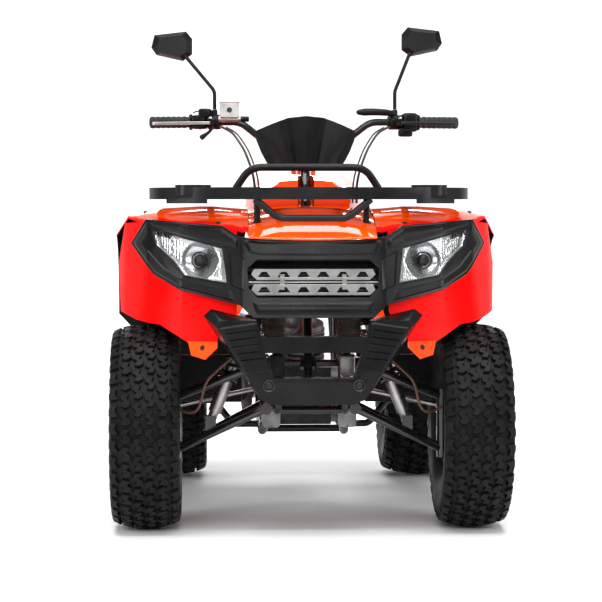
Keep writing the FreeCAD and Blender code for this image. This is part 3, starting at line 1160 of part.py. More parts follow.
def rear_rack():
    """Rear carrier on four posts that stand on the frame."""
    top, low = size.rear_rack_top, size.rear_rack_top - size.rack_height
    front, back = size.rear_rack_front, size.rear_rack_reach
    pieces = [ring_plate(REAR_RACK_SHARES, size.rear_rack_half_width, front, back, top, size.rack_height,
                         size.rack_bar)]
    for place in REAR_SLAT_SHARES:
        across = place * size.rear_rack_half_width
        pieces.append(Part.makeBox(size.rack_slat, back - front - size.rack_bar, size.rack_slat_wall,
                                   Vector(across - size.rack_slat / 2, front + size.rack_bar / 2,
                                          top - size.rack_slat_wall)))
    for side, word in SIDES:
        for along in (size.rear_rack_front + size.rack_bar / 2, size.rear_post_y):
            foot = Vector(side * size.rear_rail_x, along, size.tail_z + size.tube_radius + size.fit)
            pieces.append(straight(foot, Vector(foot.x, foot.y, top - size.rack_slat_wall), size.post_radius))
    pieces.append(Part.makeBox(2 * size.rear_rail_x, size.rack_slat,
                               size.rack_height - size.rack_slat_wall + size.fit,
                               Vector(-size.rear_rail_x, size.rear_post_y - size.rack_slat / 2, low)))
    solid_node("rear_rack", joined(pieces))


FENDER_X_SHARES = (0, 0.24, 0.36, 0.66, 0.9, 1)
FENDER_SHARES = (
    ((0, 0.78), (0.17, 0.91), (0.36, 0.97), (0.58, 0.99), (0.78, 0.98), (0.92, 0.93), (0.97, 0.82)),
    ((0.03, 0.79), (0.2, 0.91), (0.38, 0.98), (0.6, 1), (0.82, 0.94), (0.95, 0.6), (1, 0.1)),
    ((0.07, 0.8), (0.24, 0.92), (0.42, 0.985), (0.64, 0.99), (0.845, 0.88), (0.965, 0.48), (1, 0.02)),
    ((0.21, 0.8), (0.36, 0.93), (0.52, 0.985), (0.69, 0.97), (0.86, 0.84), (0.965, 0.46), (1, 0.06)),
    ((0.46, 0.78), (0.53, 0.88), (0.61, 0.93), (0.73, 0.915), (0.875, 0.78), (0.965, 0.48), (0.994, 0.2)),
    ((0.61, 0.7), (0.65, 0.77), (0.71, 0.81), (0.79, 0.79), (0.89, 0.69), (0.963, 0.5), (0.987, 0.29)),
)
FENDER_FACE_SHARES = ((0.374, 0.878), (0.374, 0.045), (0.47, -0.21), (0.47, -0.317), (0.531, -0.44),
                      (0.6, -0.4), (0.615, -0.27), (0.758, -0.1), (0.885, -0.07),
                      (0.971, -0.004), (0.986, 0.52), (0.95, 0.95), (0.9, 0.96), (0.8, 0.95), (0.715, 0.942),
                      (0.562, 0.922), (0.48, 0.912))
REAR_FENDER_X_SHARES = (0, 0.2, 0.62, 0.92, 1)
REAR_FENDER_SHARES = (
    ((0.02, 0.69), (0.15, 0.69), (0.32, 0.69), (0.5, 0.69), (0.68, 0.69), (0.85, 0.69), (0.98, 0.66)),
    ((0, 0.05), (0.06, 0.5), (0.2, 0.86), (0.42, 0.95), (0.65, 0.93), (0.86, 0.8), (1, 0.55)),
    ((0, 0), (0.06, 0.48), (0.2, 0.88), (0.42, 1), (0.65, 0.97), (0.86, 0.8), (1, 0.5)),
    ((0.01, 0.1), (0.07, 0.45), (0.2, 0.78), (0.42, 0.9), (0.64, 0.87), (0.83, 0.68), (0.95, 0.42)),
    ((0.04, 0.2), (0.1, 0.42), (0.21, 0.65), (0.4, 0.74), (0.6, 0.7), (0.78, 0.52), (0.88, 0.3)),
)


def filled(x_shares, table, count):
    """The table with lines added between its lines, so that a loft through them keeps its form."""
    rows = list(zip(x_shares, table))
    out = []
    for (low, one), (high, two) in zip(rows, rows[1:]):
        for k in range(count):
            part = k / count
            line = [(a[0] + (b[0] - a[0]) * part, a[1] + (b[1] - a[1]) * part) for a, b in zip(one, two)]
            out.append((low + (high - low) * part, line))
    return out + rows[-1:]


def fender(x_shares, table, inner, outer, front, back, lip, top, count=1):
    """A mudguard: lines from front to back, each at its own distance from the middle plane."""
    sections = []
    for across, line in filled(x_shares, table, count):
        x = inner + across * (outer - inner)
        sections.append([Vector(x, front + along * (back - front), lip + up * (top - lip))
                         for along, up in line])
    return shell_between(sections, size.panel_wall, AXIS_X, count > 1)


def fenders():
    dome = fender(FENDER_X_SHARES, FENDER_SHARES, size.hood_half_width + size.seat_gap,
                  size.fender_half_width,
                  -body_front, -size.fender_back, size.fender_lip, size.fender_top, int(size.fender_fill))
    start = size.mask_wall + size.seat_gap
    behind_mask = swept_wall(start, size.mask_reach, FENDER_PLAN_SHARES, 2 * size.fender_crown)
    skin = swept_wall(start, size.panel_wall, FENDER_PLAN_SHARES, 2 * size.fender_crown)
    face = [Vector(across * size.fender_half_width, -size.mask_reach - size.mask_sweep,
                   size.mask_bottom + up * size.mask_height) for across, up in FENDER_FACE_SHARES]
    panel = skin.common(prism(face, AXIS_Y * 3 * size.mask_sweep))
    lamp = through_front(LAMP_SHARES, False)
    room = swept_wall(0, size.lens_inset + size.lens_wall + size.lamp_depth + size.seam).common(lamp)
    keep = dome.common(behind_mask).fuse(panel).cut(room)
    behind = fender(REAR_FENDER_X_SHARES, REAR_FENDER_SHARES,
                    size.rear_rail_x + size.tube_radius + size.seat_gap,
                    size.rear_fender_half_width, size.rear_fender_front, size.rear_fender_back,
                    size.rear_fender_lip, size.rear_fender_top)
    for side, word in SIDES:
        solid_node(f"front_fender_{word}", keep if side == LEFT else mirrored(keep))
        solid_node(f"rear_fender_{word}", behind if side == LEFT else mirrored(behind))


HOOD_ACROSS_SHARES = (-1, -0.5, 0, 0.5, 1)
HOOD_SHARES = ((0, (0.06, 0.02, 0)), (0.19, (0.45, 0.6, 0.62)), (0.47, (0.74, 0.88, 0.92)),
               (0.74, (0.84, 0.97, 0.99)), (1, (0.86, 0.98, 1)))


def hood():
    """The bonnet between the mudguards, with holes round the carrier posts."""
    half, sections = size.hood_half_width, []
    for along, (edge, shoulder, middle) in HOOD_SHARES:
        y = -body_front + along * (body_front - size.hood_back)
        line = zip(HOOD_ACROSS_SHARES, (edge, shoulder, middle, shoulder, edge))
        sections.append([Vector(across * half, y, size.hood_low + up * size.hood_rise)
                         for across, up in line])
    shell = shell_between(sections, size.panel_wall, AXIS_Y * -1)
    holes = [Part.makeCylinder(size.post_radius + size.running_gap, 2 * size.hood_rise,
                               Vector(side * size.post_x, -size.upper_front - size.rack_bar,
                                      size.hood_low), AXIS_Z)
             for side, word in SIDES]
    solid_node("hood", shell.cut(Part.makeCompound(holes)))


def footwell(label, side):
    """Floor tray with front and rear walls that meet the mudguards."""
    front, back = -size.fender_back + size.seat_gap, size.rear_fender_front - size.seat_gap
    wall, floor, slope = size.footwell_wall, size.footwell_z, size.footwell_slope
    outer = [(front, size.footwell_front_top), (front, floor + slope), (front + slope, floor),
             (back - slope, floor), (back, floor + slope), (back, size.footwell_back_top)]
    corner = floor + slope + wall / 2
    inner = [(back - wall, size.footwell_back_top), (back - wall, corner),
             (back - slope - wall / 2, floor + wall), (front + slope + wall / 2, floor + wall),
             (front + wall, corner), (front + wall, size.footwell_front_top)]
    points = [Vector(side * size.footwell_inner, y, z) for y, z in outer + inner]
    tray = prism(points, AXIS_X * side * (size.footwell_outer - size.footwell_inner))
    rib = Part.makeBox(wall, back - front - 2 * slope, size.footwell_rib,
                       Vector(side * size.footwell_inner - (0 if side == LEFT else wall), front + slope,
                              floor + wall - size.fit))
    solid_node(label, joined([tray, rib]))


def footpegs():
    """Serrated pegs on the trays, each with a bar to the frame below."""
    shapes = []
    for side, word in SIDES:
        low = size.footwell_z + size.footwell_wall + size.fit
        near = side * size.peg_inner if side == LEFT else -size.peg_inner - size.peg_length
        base = Part.makeBox(size.peg_length, size.peg_width, size.peg_height / 2,
                            Vector(near, -size.peg_width / 2, low))
        row_pitch, tooth_pitch = size.peg_width / size.peg_rows, size.peg_length / size.peg_teeth
        teeth = [Part.makeBox(tooth_pitch * share.tooth_width, row_pitch / 2, size.peg_height,
                              Vector(near + (k + share.tooth_start) * tooth_pitch,
                                     -size.peg_width / 2 + (row + share.tooth_start) * row_pitch, low))
                 for row in range(int(size.peg_rows)) for k in range(int(size.peg_teeth))]
        shapes.append(joined([base] + teeth))
    solid_node("footpegs", Part.makeCompound(shapes))


TANK_SHARES = ((0, ((0, 0), (0.62, 0), (0.72, 0.45), (0.68, 0.72), (0.4, 0.88), (0, 0.9))),
               (0.4, ((0, 0), (0.7, 0), (0.96, 0.45), (0.92, 0.8), (0.6, 0.97), (0, 1))),
               (0.75, ((0, 0), (0.7, 0), (1, 0.4), (0.95, 0.72), (0.6, 0.9), (0, 0.94))),
               (1, ((0, 0), (0.66, 0), (0.84, 0.3), (0.8, 0.5), (0.5, 0.62), (0, 0.64))))


def tank_cover():
    """Cover over the fuel tank, open round the steering column."""
    wires = []
    for along, outline in TANK_SHARES:
        y = -size.tank_front + along * (size.tank_front - size.tank_back)
        half = [Vector(across * size.tank_half_width, y,
                       size.tank_base + up * (size.tank_top - size.tank_base)) for across, up in outline]
        wires.append(polygon(front_plate(half)))
    whole = Part.makeLoft(wires, True, True)
    axis, back = column_axes()
    wide = size.stem_radius + 2 * size.running_gap
    gap = Part.makeCylinder(wide, size.stem_length, column_point(0), axis)
    near, ahead = column_point(0), column_point(0) - back * size.tank_front
    slot = prism([near + AXIS_X * wide, near - AXIS_X * wide, ahead - AXIS_X * wide,
                  ahead + AXIS_X * wide], axis * size.stem_length)
    foot = Vector(0, -size.tank_front * share.filler_place, size.tank_top - size.filler_sink)
    filler = Part.makeCylinder(size.filler_radius, size.filler_sink + size.filler_height, foot, AXIS_Z)
    solid_node("tank_cover", whole.cut(Part.makeCompound([gap, slot])).fuse(filler).removeSplitter())


SEAT_SHARES = ((0, 0.72, 0.62), (0.12, 0.82, 0.74), (0.4, 0.96, 0.76), (0.55, 1, 1), (0.85, 1, 0.98),
               (1, 0.9, 0.82))


def seat():
    """Long two-step cushion on the rear rails."""
    wires = []
    for along, wide, tall in SEAT_SHARES:
        y = along * (size.seat_back + size.seat_front) - size.seat_front
        half, base = wide * size.seat_half_width, size.seat_base
        top = base + tall * (size.seat_top - base)
        outline = [Vector(0, y, base), Vector(half * share.seat_foot, y, base),
                   Vector(half, y, base + size.seat_round), Vector(half, y, top - size.seat_round),
                   Vector(half - size.seat_round, y, top), Vector(0, y, top)]
        wires.append(polygon(front_plate(outline)))
    solid_node("seat", Part.makeLoft(wires, True, True))


def tail():
    """Rear carrier bar with two lamps, and the hitch plate on the frame's tail."""
    shapes = []
    y = size.tail_end + size.seat_gap
    for side, word in SIDES:
        low = Vector(side * size.tail_lamp_x - size.tail_lamp_width / 2, y, size.tail_lamp_z)
        shapes.append(Part.makeBox(size.tail_lamp_width, size.tail_lamp_depth, size.tail_lamp_height, low))
    bar_low = size.tail_lamp_z + size.tail_lamp_height / 2
    bar = Part.makeBox(2 * size.tail_lamp_x, size.tail_lamp_depth / 2, size.tail_lamp_height / 2,
                       Vector(-size.tail_lamp_x, y, bar_low))
    half = size.rear_rail_x + size.tube_radius
    plate = Part.makeBox(2 * half, size.tail_lamp_depth / 2, size.tail_z - bar_low, Vector(-half, y, bar_low))
    solid_node("tail_lamps", joined(shapes + [bar, plate]))


def hitch():
    """Bracket down from the frame's tail, ending in a plate with the towing hole."""
    body = doc.addObject("PartDesign::Body", "hitch")
    sketch = outline_sketch(body, "XY_Plane", "hitch_plate", [
        ("0", "0"), ("hitch_width", "0"), ("hitch_width", "hitch_length"), ("0", "hitch_length")])
    plate = body.newObject("PartDesign::Pad", "hitch_pad")
    plate.Profile = sketch
    bind(plate, Length="hitch_wall")
    drill = body.newObject("Sketcher::SketchObject", "hitch_drill")
    drill.AttachmentSupport = (origin_plane(body, "XY_Plane"), [""])
    drill.MapMode = "FlatFace"
    drill.addGeometry(Part.Circle(Vector(size.hitch_width / 2, size.hitch_length / 2, 0), AXIS_Z,
                                  size.hitch_hole_radius), False)
    for kind, text in (("DistanceX", "hitch_width / 2"), ("DistanceY", "hitch_length - hitch_hole_inset")):
        place = drill.addConstraint(Sketcher.Constraint(kind, -1, 1, 0, 3, size.hitch_width / 2))
        drill.setExpression(f"Constraints[{place}]", cell(text))
    place = drill.addConstraint(Sketcher.Constraint("Radius", 0, size.hitch_hole_radius))
    drill.setExpression(f"Constraints[{place}]", cell("hitch_hole_radius"))
    doc.recompute()
    hole = body.newObject("PartDesign::Pocket", "hitch_hole")
    hole.Profile = drill
    hole.Type = "ThroughAll"
    hole.Midplane = True
    body.Tip = hole
    bind(body, Placement__Base__x="-hitch_width / 2", Placement__Base__y="half_length - hitch_length",
         Placement__Base__z="hitch_z")
    post = block("hitch_post", ("hitch_width", "hitch_wall", "tail_z - brace_radius - fit - hitch_z"),
                 ("-hitch_width / 2", "tail_end - hitch_wall - tube_radius", "hitch_z"))
    fused("hitch_bracket", [body, post])


BAR_SHARES = ((0, 0, 0), (0.17, 0, 0), (0.42, -0.3, 1), (1, 1, 1))


def bar_points(side):
    """The bar's route from the clamp out to one end."""
    half, sweep = size.bar_half_width, size.bar_sweep
    return [bar_middle() + Vector(side * across * half, along * sweep, up * size.bar_rise)
            for across, along, up in BAR_SHARES]


def bar_line(side, from_end):
    """The point on the bar's outer straight run at this distance from its end, and the way out."""
    knee, end = bar_points(side)[2:]
    out = (end - knee).normalize()
    return end - out * from_end, out


def handlebar():
    route = bar_points(RIGHT)[:0:-1] + bar_points(LEFT)[1:]
    solid_node("handlebar", tube(route, size.bar_radius))


def sleeve(side, from_end, length, outer, inner=None):
    """A ring round the bar's outer run, its far face the given distance in from the bar's end."""
    point, out = bar_line(side, from_end)
    ring = Part.makeCylinder(outer, length, point, out * -1)
    if inner is None:
        inner = size.bar_radius + size.fit
    return ring.cut(Part.makeCylinder(inner, 3 * length, point + out * length, out * -1))


def grips():
    shapes = []
    for side, word in SIDES:
        length = size.grip_length
        pieces = [sleeve(side, 0, length, size.grip_radius - size.grip_rib_height),
                  sleeve(side, length - size.overrun, size.overrun, size.grip_flange)]
        pitch = (length - size.grip_bare) / size.grip_ribs
        for k in range(int(size.grip_ribs)):
            pieces.append(sleeve(side, (k + share.rib_start) * pitch, pitch * share.rib_width,
                                 size.grip_radius))
        shapes.append(joined(pieces))
    solid_node("grips", Part.makeCompound(shapes))


def controls():
    """Perches, switch boxes, brake-fluid reservoir and thumb throttle round the bar."""
    shapes = []
    for side, word in SIDES:
        start = size.grip_length + size.seat_gap
        box = sleeve(side, start, size.switch_width, size.switch_depth / 2)
        perch = sleeve(side, start + size.switch_width, size.perch_width, size.perch_length / 2)
        point, out = bar_line(side, start + size.switch_width + size.perch_width / 2)
        forward = Vector(out.y, -out.x, 0) * side
        arm = straight(point + forward * size.bar_radius * share.arm_start,
                       point + forward * size.lever_reach * share.lever_stand,
                       size.perch_width * share.arm_radius)
        pieces = [box, perch, arm]
        seat_top = point + AXIS_Z * (size.perch_length / 2 - size.fit)
        mirror_post = Part.makeCylinder(size.mirror_stem_radius * share.mirror_boss,
                                        size.perch_length * share.mirror_boss_rise, seat_top, AXIS_Z)
        pieces.append(mirror_post)
        if side == RIGHT:
            tank = Part.makeBox(size.reservoir_width, size.reservoir_depth, size.reservoir_height,
                                point + Vector(size.perch_width / 2 - size.overrun, -size.reservoir_depth,
                                               size.bar_radius + size.seat_gap))
            pieces.append(tank)
            thumb, along = bar_line(side, start + size.switch_width / 2)
            paddle = Part.makeBox(size.throttle_length, size.lever_wall, size.throttle_length,
                                  thumb - Vector(size.throttle_length * share.paddle_inward,
                                                 size.switch_depth / 2 + size.lever_wall * share.paddle_stand,
                                                 size.throttle_length * share.paddle_drop))
            pieces.append(paddle)
        shapes.append(joined(pieces))
    solid_node("controls", Part.makeCompound(shapes))


def levers():
    """A flat brake lever ahead of each grip, hinged on its perch."""
    shapes = []
    for side, word in SIDES:
        inner, out = bar_line(side,
                              size.grip_length + size.seat_gap + size.switch_width + size.perch_width / 2)
        forward = Vector(out.y, -out.x, 0) * side
        up = AXIS_Z * size.lever_width
        base = (inner + forward * (size.lever_reach * share.lever_stand + size.fit) - up / 2
                - AXIS_Z * size.lever_drop)
        wide = forward * size.lever_wall
        points = [base, base + out * size.lever_length * share.lever_knee + wide * share.lever_knee_out,
                  base + out * size.lever_length - wide * share.lever_end_back]
        rim_points = points + [p + wide for p in reversed(points)]
        blade = prism(rim_points, up)
        tip, radius = points[-1] + wide / 2, size.lever_wall
        ball = Part.makeCylinder(radius, size.lever_width, tip, AXIS_Z)
        shapes.append(joined([blade, ball]))
    solid_node("levers", Part.makeCompound(shapes))


def mirror_centre(side):
    place = (Vector(size.mirror_left_x, size.mirror_back, size.mirror_left_rise) if side == LEFT
             else Vector(-size.mirror_right_x, size.mirror_back, size.mirror_right_rise))
    return bar_middle() + place


MIRROR_SHARES = ((-1, -0.55), (-0.55, -1), (0.75, -0.6), (1, -0.1), (0.85, 0.75), (-0.7, 1), (-1, 0.5))


def mirrors():
    """Angular shells on bent stems; the glass faces the rider."""
    shells, glasses = [], []
    for side, word in SIDES:
        centre = mirror_centre(side)
        half, tall, deep = size.mirror_width / 2, size.mirror_height / 2, size.mirror_depth

        def outline(scale, along):
            return [centre + Vector(side * across * half * scale, along, up * tall * scale)
                    for across, up in MIRROR_SHARES]

        shell = Part.makeLoft([polygon(outline(share.mirror_front, -deep)),
                               polygon(outline(1, -deep * share.mirror_rim)),
                               polygon(outline(1, 0))], True, True)
        recess = prism(outline(share.mirror_recess, -size.mirror_glass_wall - size.fit), AXIS_Y * 2 * deep)
        glass = prism(outline(share.mirror_face, -size.mirror_glass_wall), AXIS_Y * size.mirror_glass_wall)
        start = size.grip_length + size.seat_gap + size.switch_width + size.perch_width / 2
        point, out = bar_line(side, start)
        foot = point + AXIS_Z * size.perch_length * (1 / 2 + share.mirror_boss_rise)
        knee = Vector(foot.x, foot.y, bar_middle().z + size.mirror_knee_rise)
        inner_edge = centre - Vector(side * half * share.mirror_stem, deep * share.mirror_stem,
                                     tall * share.mirror_stem_drop)
        stem = tube([foot, knee, inner_edge], size.mirror_stem_radius, size.bend / 2)
        shells.append(joined([shell.cut(recess), stem.cut(recess)]))
        glasses.append(glass)
    solid_node("mirrors", Part.makeCompound(shells))
    solid_node("mirror_glass", Part.makeCompound(glasses))


POD_SHARES = ((0, 0), (0.74, 0), (0.78, 0.06), (0.88, 0.26), (0.97, 0.5), (1, 0.65), (0.96, 0.72),
              (0.68, 0.84), (0.36, 0.965), (0, 1))
POD_PLAN_SHARES = ((0, 0), (0.3, 0.12), (0.42, 0.4), (0.6, 0.36), (0.8, 0.62), (1.1, 1.1))


def handlebar_pod():
    """Fan-shaped cover in front of the bar clamp; its creases spread from the foot to the top."""
    middle, half_width, tall = bar_middle(), size.pod_half_width, size.pod_height
    rear = middle.y - size.clamp_depth / 2 - size.seat_gap
    low = middle.z + size.pod_rise - tall
    wires = []
    for level, spread in ((low - size.overrun, share.pod_foot), (low + tall + size.overrun, 1)):
        line = [Vector(across * spread * half_width, middle.y - size.pod_reach + back * size.pod_sweep, level)
                for across, back in POD_PLAN_SHARES]
        line = [Vector(-p.x, p.y, p.z) for p in reversed(line) if p.x > 0] + line
        wide = 2 * half_width
        wires.append(polygon([Vector(-wide, rear, level), Vector(-wide, line[0].y, level)] + line
                             + [Vector(wide, line[-1].y, level), Vector(wide, rear, level)]))
    front = [Vector(across * half_width, middle.y - 2 * size.pod_reach, low + up * tall)
             for across, up in POD_SHARES]
    whole = Part.makeLoft(wires, True, True).common(prism(front_plate(front), AXIS_Y * 3 * size.pod_reach))
    axis, across = column_axes()
    stem = Part.makeCylinder(size.stem_radius + size.seat_gap, size.stem_length, column_point(0), axis)
    solid_node("handlebar_pod", whole.cut(stem))


CABLE_SHARES = ((2.476, -0.169, 0.74), (2.16, -0.299, 0.58), (1.82, -0.649, 0.06), (1.58, -0.729, -0.58),
                (1.5, -0.649, -1.06), (1.51, -0.649, -1.52))


def control_cables():
    """Brake and throttle cables that leave the perches and go down beside the tank cover."""
    shapes = []
    for side, word in SIDES:
        points = [bar_middle() + Vector(side * across, along, up) * size.cable_reach
                  for across, along, up in CABLE_SHARES]
        shapes.append(tube(points, size.cable_radius))
    solid_node("control_cables", Part.makeCompound(shapes))


tyres()
rims()
for side, word in SIDES:
    hub(f"brake_disc_front_{word}", side)
    knuckle(f"knuckle_{word}", side)
    tie_rod(f"tie_rod_{word}", side)
    front_arms(f"front_arms_{word}", side)
    footwell(f"footwell_{word}", side)
rear_axle()
steering_stem()
frame()
swingarm()
shocks()
chain()
engine()
exhaust()
front_face()
grille()
bumper()
front_rack()
rear_rack()
fenders()
hood()
footpegs()
tank_cover()
seat()
tail()
hitch()
handlebar()
grips()
controls()
levers()
mirrors()
handlebar_pod()
control_cables()
doc.recompute()
for item in doc.Objects:
    if "Invalid" in item.State or "Error" in item.State:
        raise RuntimeError(item.Label + " did not build")
for item in nodes:
    if item.Shape.isNull() or not item.Shape.isValid():
        raise RuntimeError(item.Label + " is not a sound solid")
os.makedirs("parts", exist_ok=True)
for item in nodes:
    item.Shape.exportStep(f"parts/{item.Label}.step")
print(len(nodes), "nodes written")
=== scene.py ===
import bpy
import bmesh
import json
import numpy as np
from math import radians, pi
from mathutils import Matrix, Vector
from mathutils.bvhtree import BVHTree


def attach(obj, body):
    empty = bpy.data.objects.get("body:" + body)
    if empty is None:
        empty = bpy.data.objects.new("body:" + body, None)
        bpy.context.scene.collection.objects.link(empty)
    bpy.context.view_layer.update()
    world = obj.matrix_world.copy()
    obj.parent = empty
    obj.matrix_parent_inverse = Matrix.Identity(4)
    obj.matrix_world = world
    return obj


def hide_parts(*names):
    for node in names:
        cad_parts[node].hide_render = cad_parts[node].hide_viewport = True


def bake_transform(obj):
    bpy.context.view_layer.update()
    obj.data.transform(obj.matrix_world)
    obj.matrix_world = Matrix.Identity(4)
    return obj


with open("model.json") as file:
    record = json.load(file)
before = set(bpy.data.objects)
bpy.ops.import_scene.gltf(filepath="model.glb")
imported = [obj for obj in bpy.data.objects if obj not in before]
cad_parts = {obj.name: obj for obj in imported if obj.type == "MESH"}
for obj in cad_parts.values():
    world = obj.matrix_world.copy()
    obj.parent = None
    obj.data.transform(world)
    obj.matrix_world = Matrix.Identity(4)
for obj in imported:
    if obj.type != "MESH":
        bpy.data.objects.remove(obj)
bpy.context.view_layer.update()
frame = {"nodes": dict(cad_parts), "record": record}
print("frame loaded")

bodyOf = {node: body for body, nodes in frame["record"]["behaviour"]["bodies"].items() for node in nodes}
slotOf = {part["node"]: part["material_slot"] for part in frame["record"]["subparts"]}
sides = {"left": 1, "right": -1}
chassis, bars = bodyOf["frame"], bodyOf["handlebar"]

view = {"place": (-0.27, -6.70, 0.93), "turn": 2.32, "dip": 2.63, "lens": 127.4, "sensor": 36.0, "far": 100}
camera = bpy.data.objects.new("camera", bpy.data.cameras.new("camera"))
bpy.context.scene.collection.objects.link(camera)
camera.location = view["place"]
camera.rotation_euler = (radians(90 - view["dip"]), 0, radians(-view["turn"]))
camera.data.lens, camera.data.sensor_width, camera.data.clip_end = view["lens"], view["sensor"], view["far"]
bpy.context.scene.camera = camera

studio = {"floorHalf": 9.0, "wallRise": 7.0, "curve": 2.5, "wallAt": 6.0, "steps": 17, "air": 0.24,
          "paper": (0.94, 0.94, 0.94), "paperRough": 0.6}
lamps = {
    "topBox": {"at": (0, -0.5, 4.2), "aim": (0, -0.1, 0.6), "size": (3.8, 3.2), "watts": 180},
    "frontBox": {"at": (-0.5, -5.4, 2.6), "aim": (0, -0.6, 0.7), "size": (3.4, 1.3), "watts": 98},
    "hoodStrip": {"at": (0, -2.5, 3.1), "aim": (0, -0.6, 0.9), "size": (3.6, 0.30), "watts": 75},
    "leftStrip": {"at": (3.9, -1.8, 1.8), "aim": (0, -0.4, 0.7), "size": (0.8, 2.6), "watts": 75},
    "rightStrip": {"at": (-3.9, -1.8, 1.8), "aim": (0, -0.4, 0.7), "size": (0.8, 2.6), "watts": 75},
    "backStrip": {"at": (0, 3.6, 2.6), "aim": (0, 0.6, 0.7), "size": (3.0, 0.9), "watts": 90},
    "wallWash": {"at": (0, 3.2, 3.6), "aim": (0, 7.0, 1.8), "size": (5.0, 1.0), "watts": 260},
}


def addObject(name, data):
    # an object at the origin, in the scene
    thing = bpy.data.objects.new(name, data)
    bpy.context.scene.collection.objects.link(thing)
    return thing


def meshFrom(name, points, faces):
    # a mesh from arrays of points and lists of corner numbers
    mesh = bpy.data.meshes.new(name)
    mesh.from_pydata(np.asarray(points, float).reshape(-1, 3).tolist(), [], [list(map(int, f)) for f in faces])
    mesh.update()
    return mesh


def newMaterial(name):
    # a material, its node tree and its shader
    material = bpy.data.materials.new(name)
    material.use_nodes = True
    return material, material.node_tree, material.node_tree.nodes["Principled BSDF"]


def backdrop():
    # a floor that turns up into a wall behind: straight, a quarter circle, straight
    turn = np.linspace(0, pi / 2, studio["steps"])
    reach, rise, half = studio["wallAt"], studio["curve"], studio["floorHalf"]
    along = np.concatenate([[-half], reach + rise * np.sin(turn), [reach + rise]])
    n = len(along)
    points = np.zeros((2, n, 3))
    points[..., 0] = [[-half], [half]]
    points[..., 1] = along
    points[..., 2] = np.concatenate([[0], rise - rise * np.cos(turn), [studio["wallRise"]]])
    faces = [(k, n + k, n + k + 1, k + 1) for k in range(n - 1)]
    floor = addObject("studio_floor", meshFrom("studio_floor", points, faces))
    floor.data.shade_smooth()
    paper, _, shader = newMaterial("studioPaper")
    shader.inputs["Base Color"].default_value = (*studio["paper"], 1)
    shader.inputs["Roughness"].default_value = studio["paperRough"]
    floor.data.materials.append(paper)


def lightStudio():
    # each lamp is a rectangle turned along the way from its place to its aim, in white air
    for name, say in lamps.items():
        light = bpy.data.lights.new(name, "AREA")
        light.shape, light.energy = "RECTANGLE", say["watts"]
        light.size, light.size_y = say["size"]
        holder = addObject(name, light)
        holder.location = say["at"]
        holder.rotation_euler = (Vector(say["aim"]) - Vector(say["at"])).to_track_quat("-Z", "Y").to_euler()
    air = bpy.data.worlds.new("studioAir")
    bpy.context.scene.world = air
    air.use_nodes = True
    air.node_tree.nodes["Background"].inputs[0].default_value = (1, 1, 1, 1)
    air.node_tree.nodes["Background"].inputs[1].default_value = studio["air"]
    bpy.context.scene.view_settings.view_transform = "Standard"  # keeps the reds full and the blacks deep


backdrop()
lightStudio()
print("studio ready")

noise = {"grainMix": 0.6, "grainDetail": 4, "toneDetail": 6, "middle": (0.3, 0.7), "streakDetail": 3,
         "dust": (0.42, 0.38, 0.33, 1), "dustScale": 22, "dustDetail": 5, "dustFrom": 0.1}


def newGroup(name, inputs, outputs):
    # an empty shader group with its named inputs, their usual values and its outputs
    group = bpy.data.node_groups.new(name, "ShaderNodeTree")
    for label, (kind, value) in inputs.items():
        group.interface.new_socket(label, in_out="INPUT", socket_type="NodeSocket" + kind).default_value = value
    for label, kind in outputs.items():
        group.interface.new_socket(label, in_out="OUTPUT", socket_type="NodeSocket" + kind)
    return group, group.nodes.new("NodeGroupInput"), group.nodes.new("NodeGroupOutput")


def addNode(tree, kind, given=None, **fields):
    # a shader node with its fields set, then the inputs that nothing feeds
    node = tree.nodes.new("ShaderNode" + kind)
    for name, value in fields.items():
        setattr(node, name, value)
    for name, value in (given or {}).items():
        node.inputs[name].default_value = value
    return node


def wire(tree, *links):
    # each link names a node, its output, the node that it feeds and the input there
    for source, output, target, entry in links:
        tree.links.new(source.outputs[output], target.inputs[entry])


def spread(tree, low, high):
    # the middle of a noise stretched from low to high
    least, most = noise["middle"]
    return addNode(tree, "MapRange", {"From Min": least, "From Max": most, "To Min": low, "To Max": high})


def makeMoulding():
    # fine cells times a share, plus slow swells: the grain of moulded plastic and castings
    group, given, out = newGroup("mouldedGrain", {"Scale": ("Float", 900), "Swell": ("Float", 14)},
                                 {"Height": "Float", "Mask": "Float"})
    place = addNode(group, "TexCoord")
    cells = addNode(group, "TexVoronoi")
    swells = addNode(group, "TexNoise", {"Detail": noise["grainDetail"]})
    mix = addNode(group, "Math", {1: noise["grainMix"]}, operation="MULTIPLY_ADD")
    wire(group, (place, "Object", cells, "Vector"), (place, "Object", swells, "Vector"),
         (given, "Scale", cells, "Scale"), (given, "Swell", swells, "Scale"), (cells, "Distance", mix, 0),
         (swells, "Fac", mix, 2), (mix, 0, out, "Height"), (swells, "Fac", out, "Mask"))
    return group


def makeTwoTone():
    # a colour that wanders between two tones in soft patches
    tones = {"Low": ("Color", (0.1, 0.1, 0.1, 1)), "High": ("Color", (0.2, 0.2, 0.2, 1)), "Scale": ("Float", 8)}
    group, given, out = newGroup("twoTone", tones, {"Color": "Color", "Mask": "Float"})
    place = addNode(group, "TexCoord")
    patches = addNode(group, "TexNoise", {"Detail": noise["toneDetail"]})
    share = spread(group, 0, 1)
    mix = addNode(group, "Mix", data_type="RGBA")
    wire(group, (place, "Object", patches, "Vector"), (given, "Scale", patches, "Scale"),
         (patches, "Fac", share, "Value"), (share, "Result", mix, "Factor"), (given, "Low", mix, "A"),
         (given, "High", mix, "B"), (mix, "Result", out, "Color"), (share, "Result", out, "Mask"))
    return group


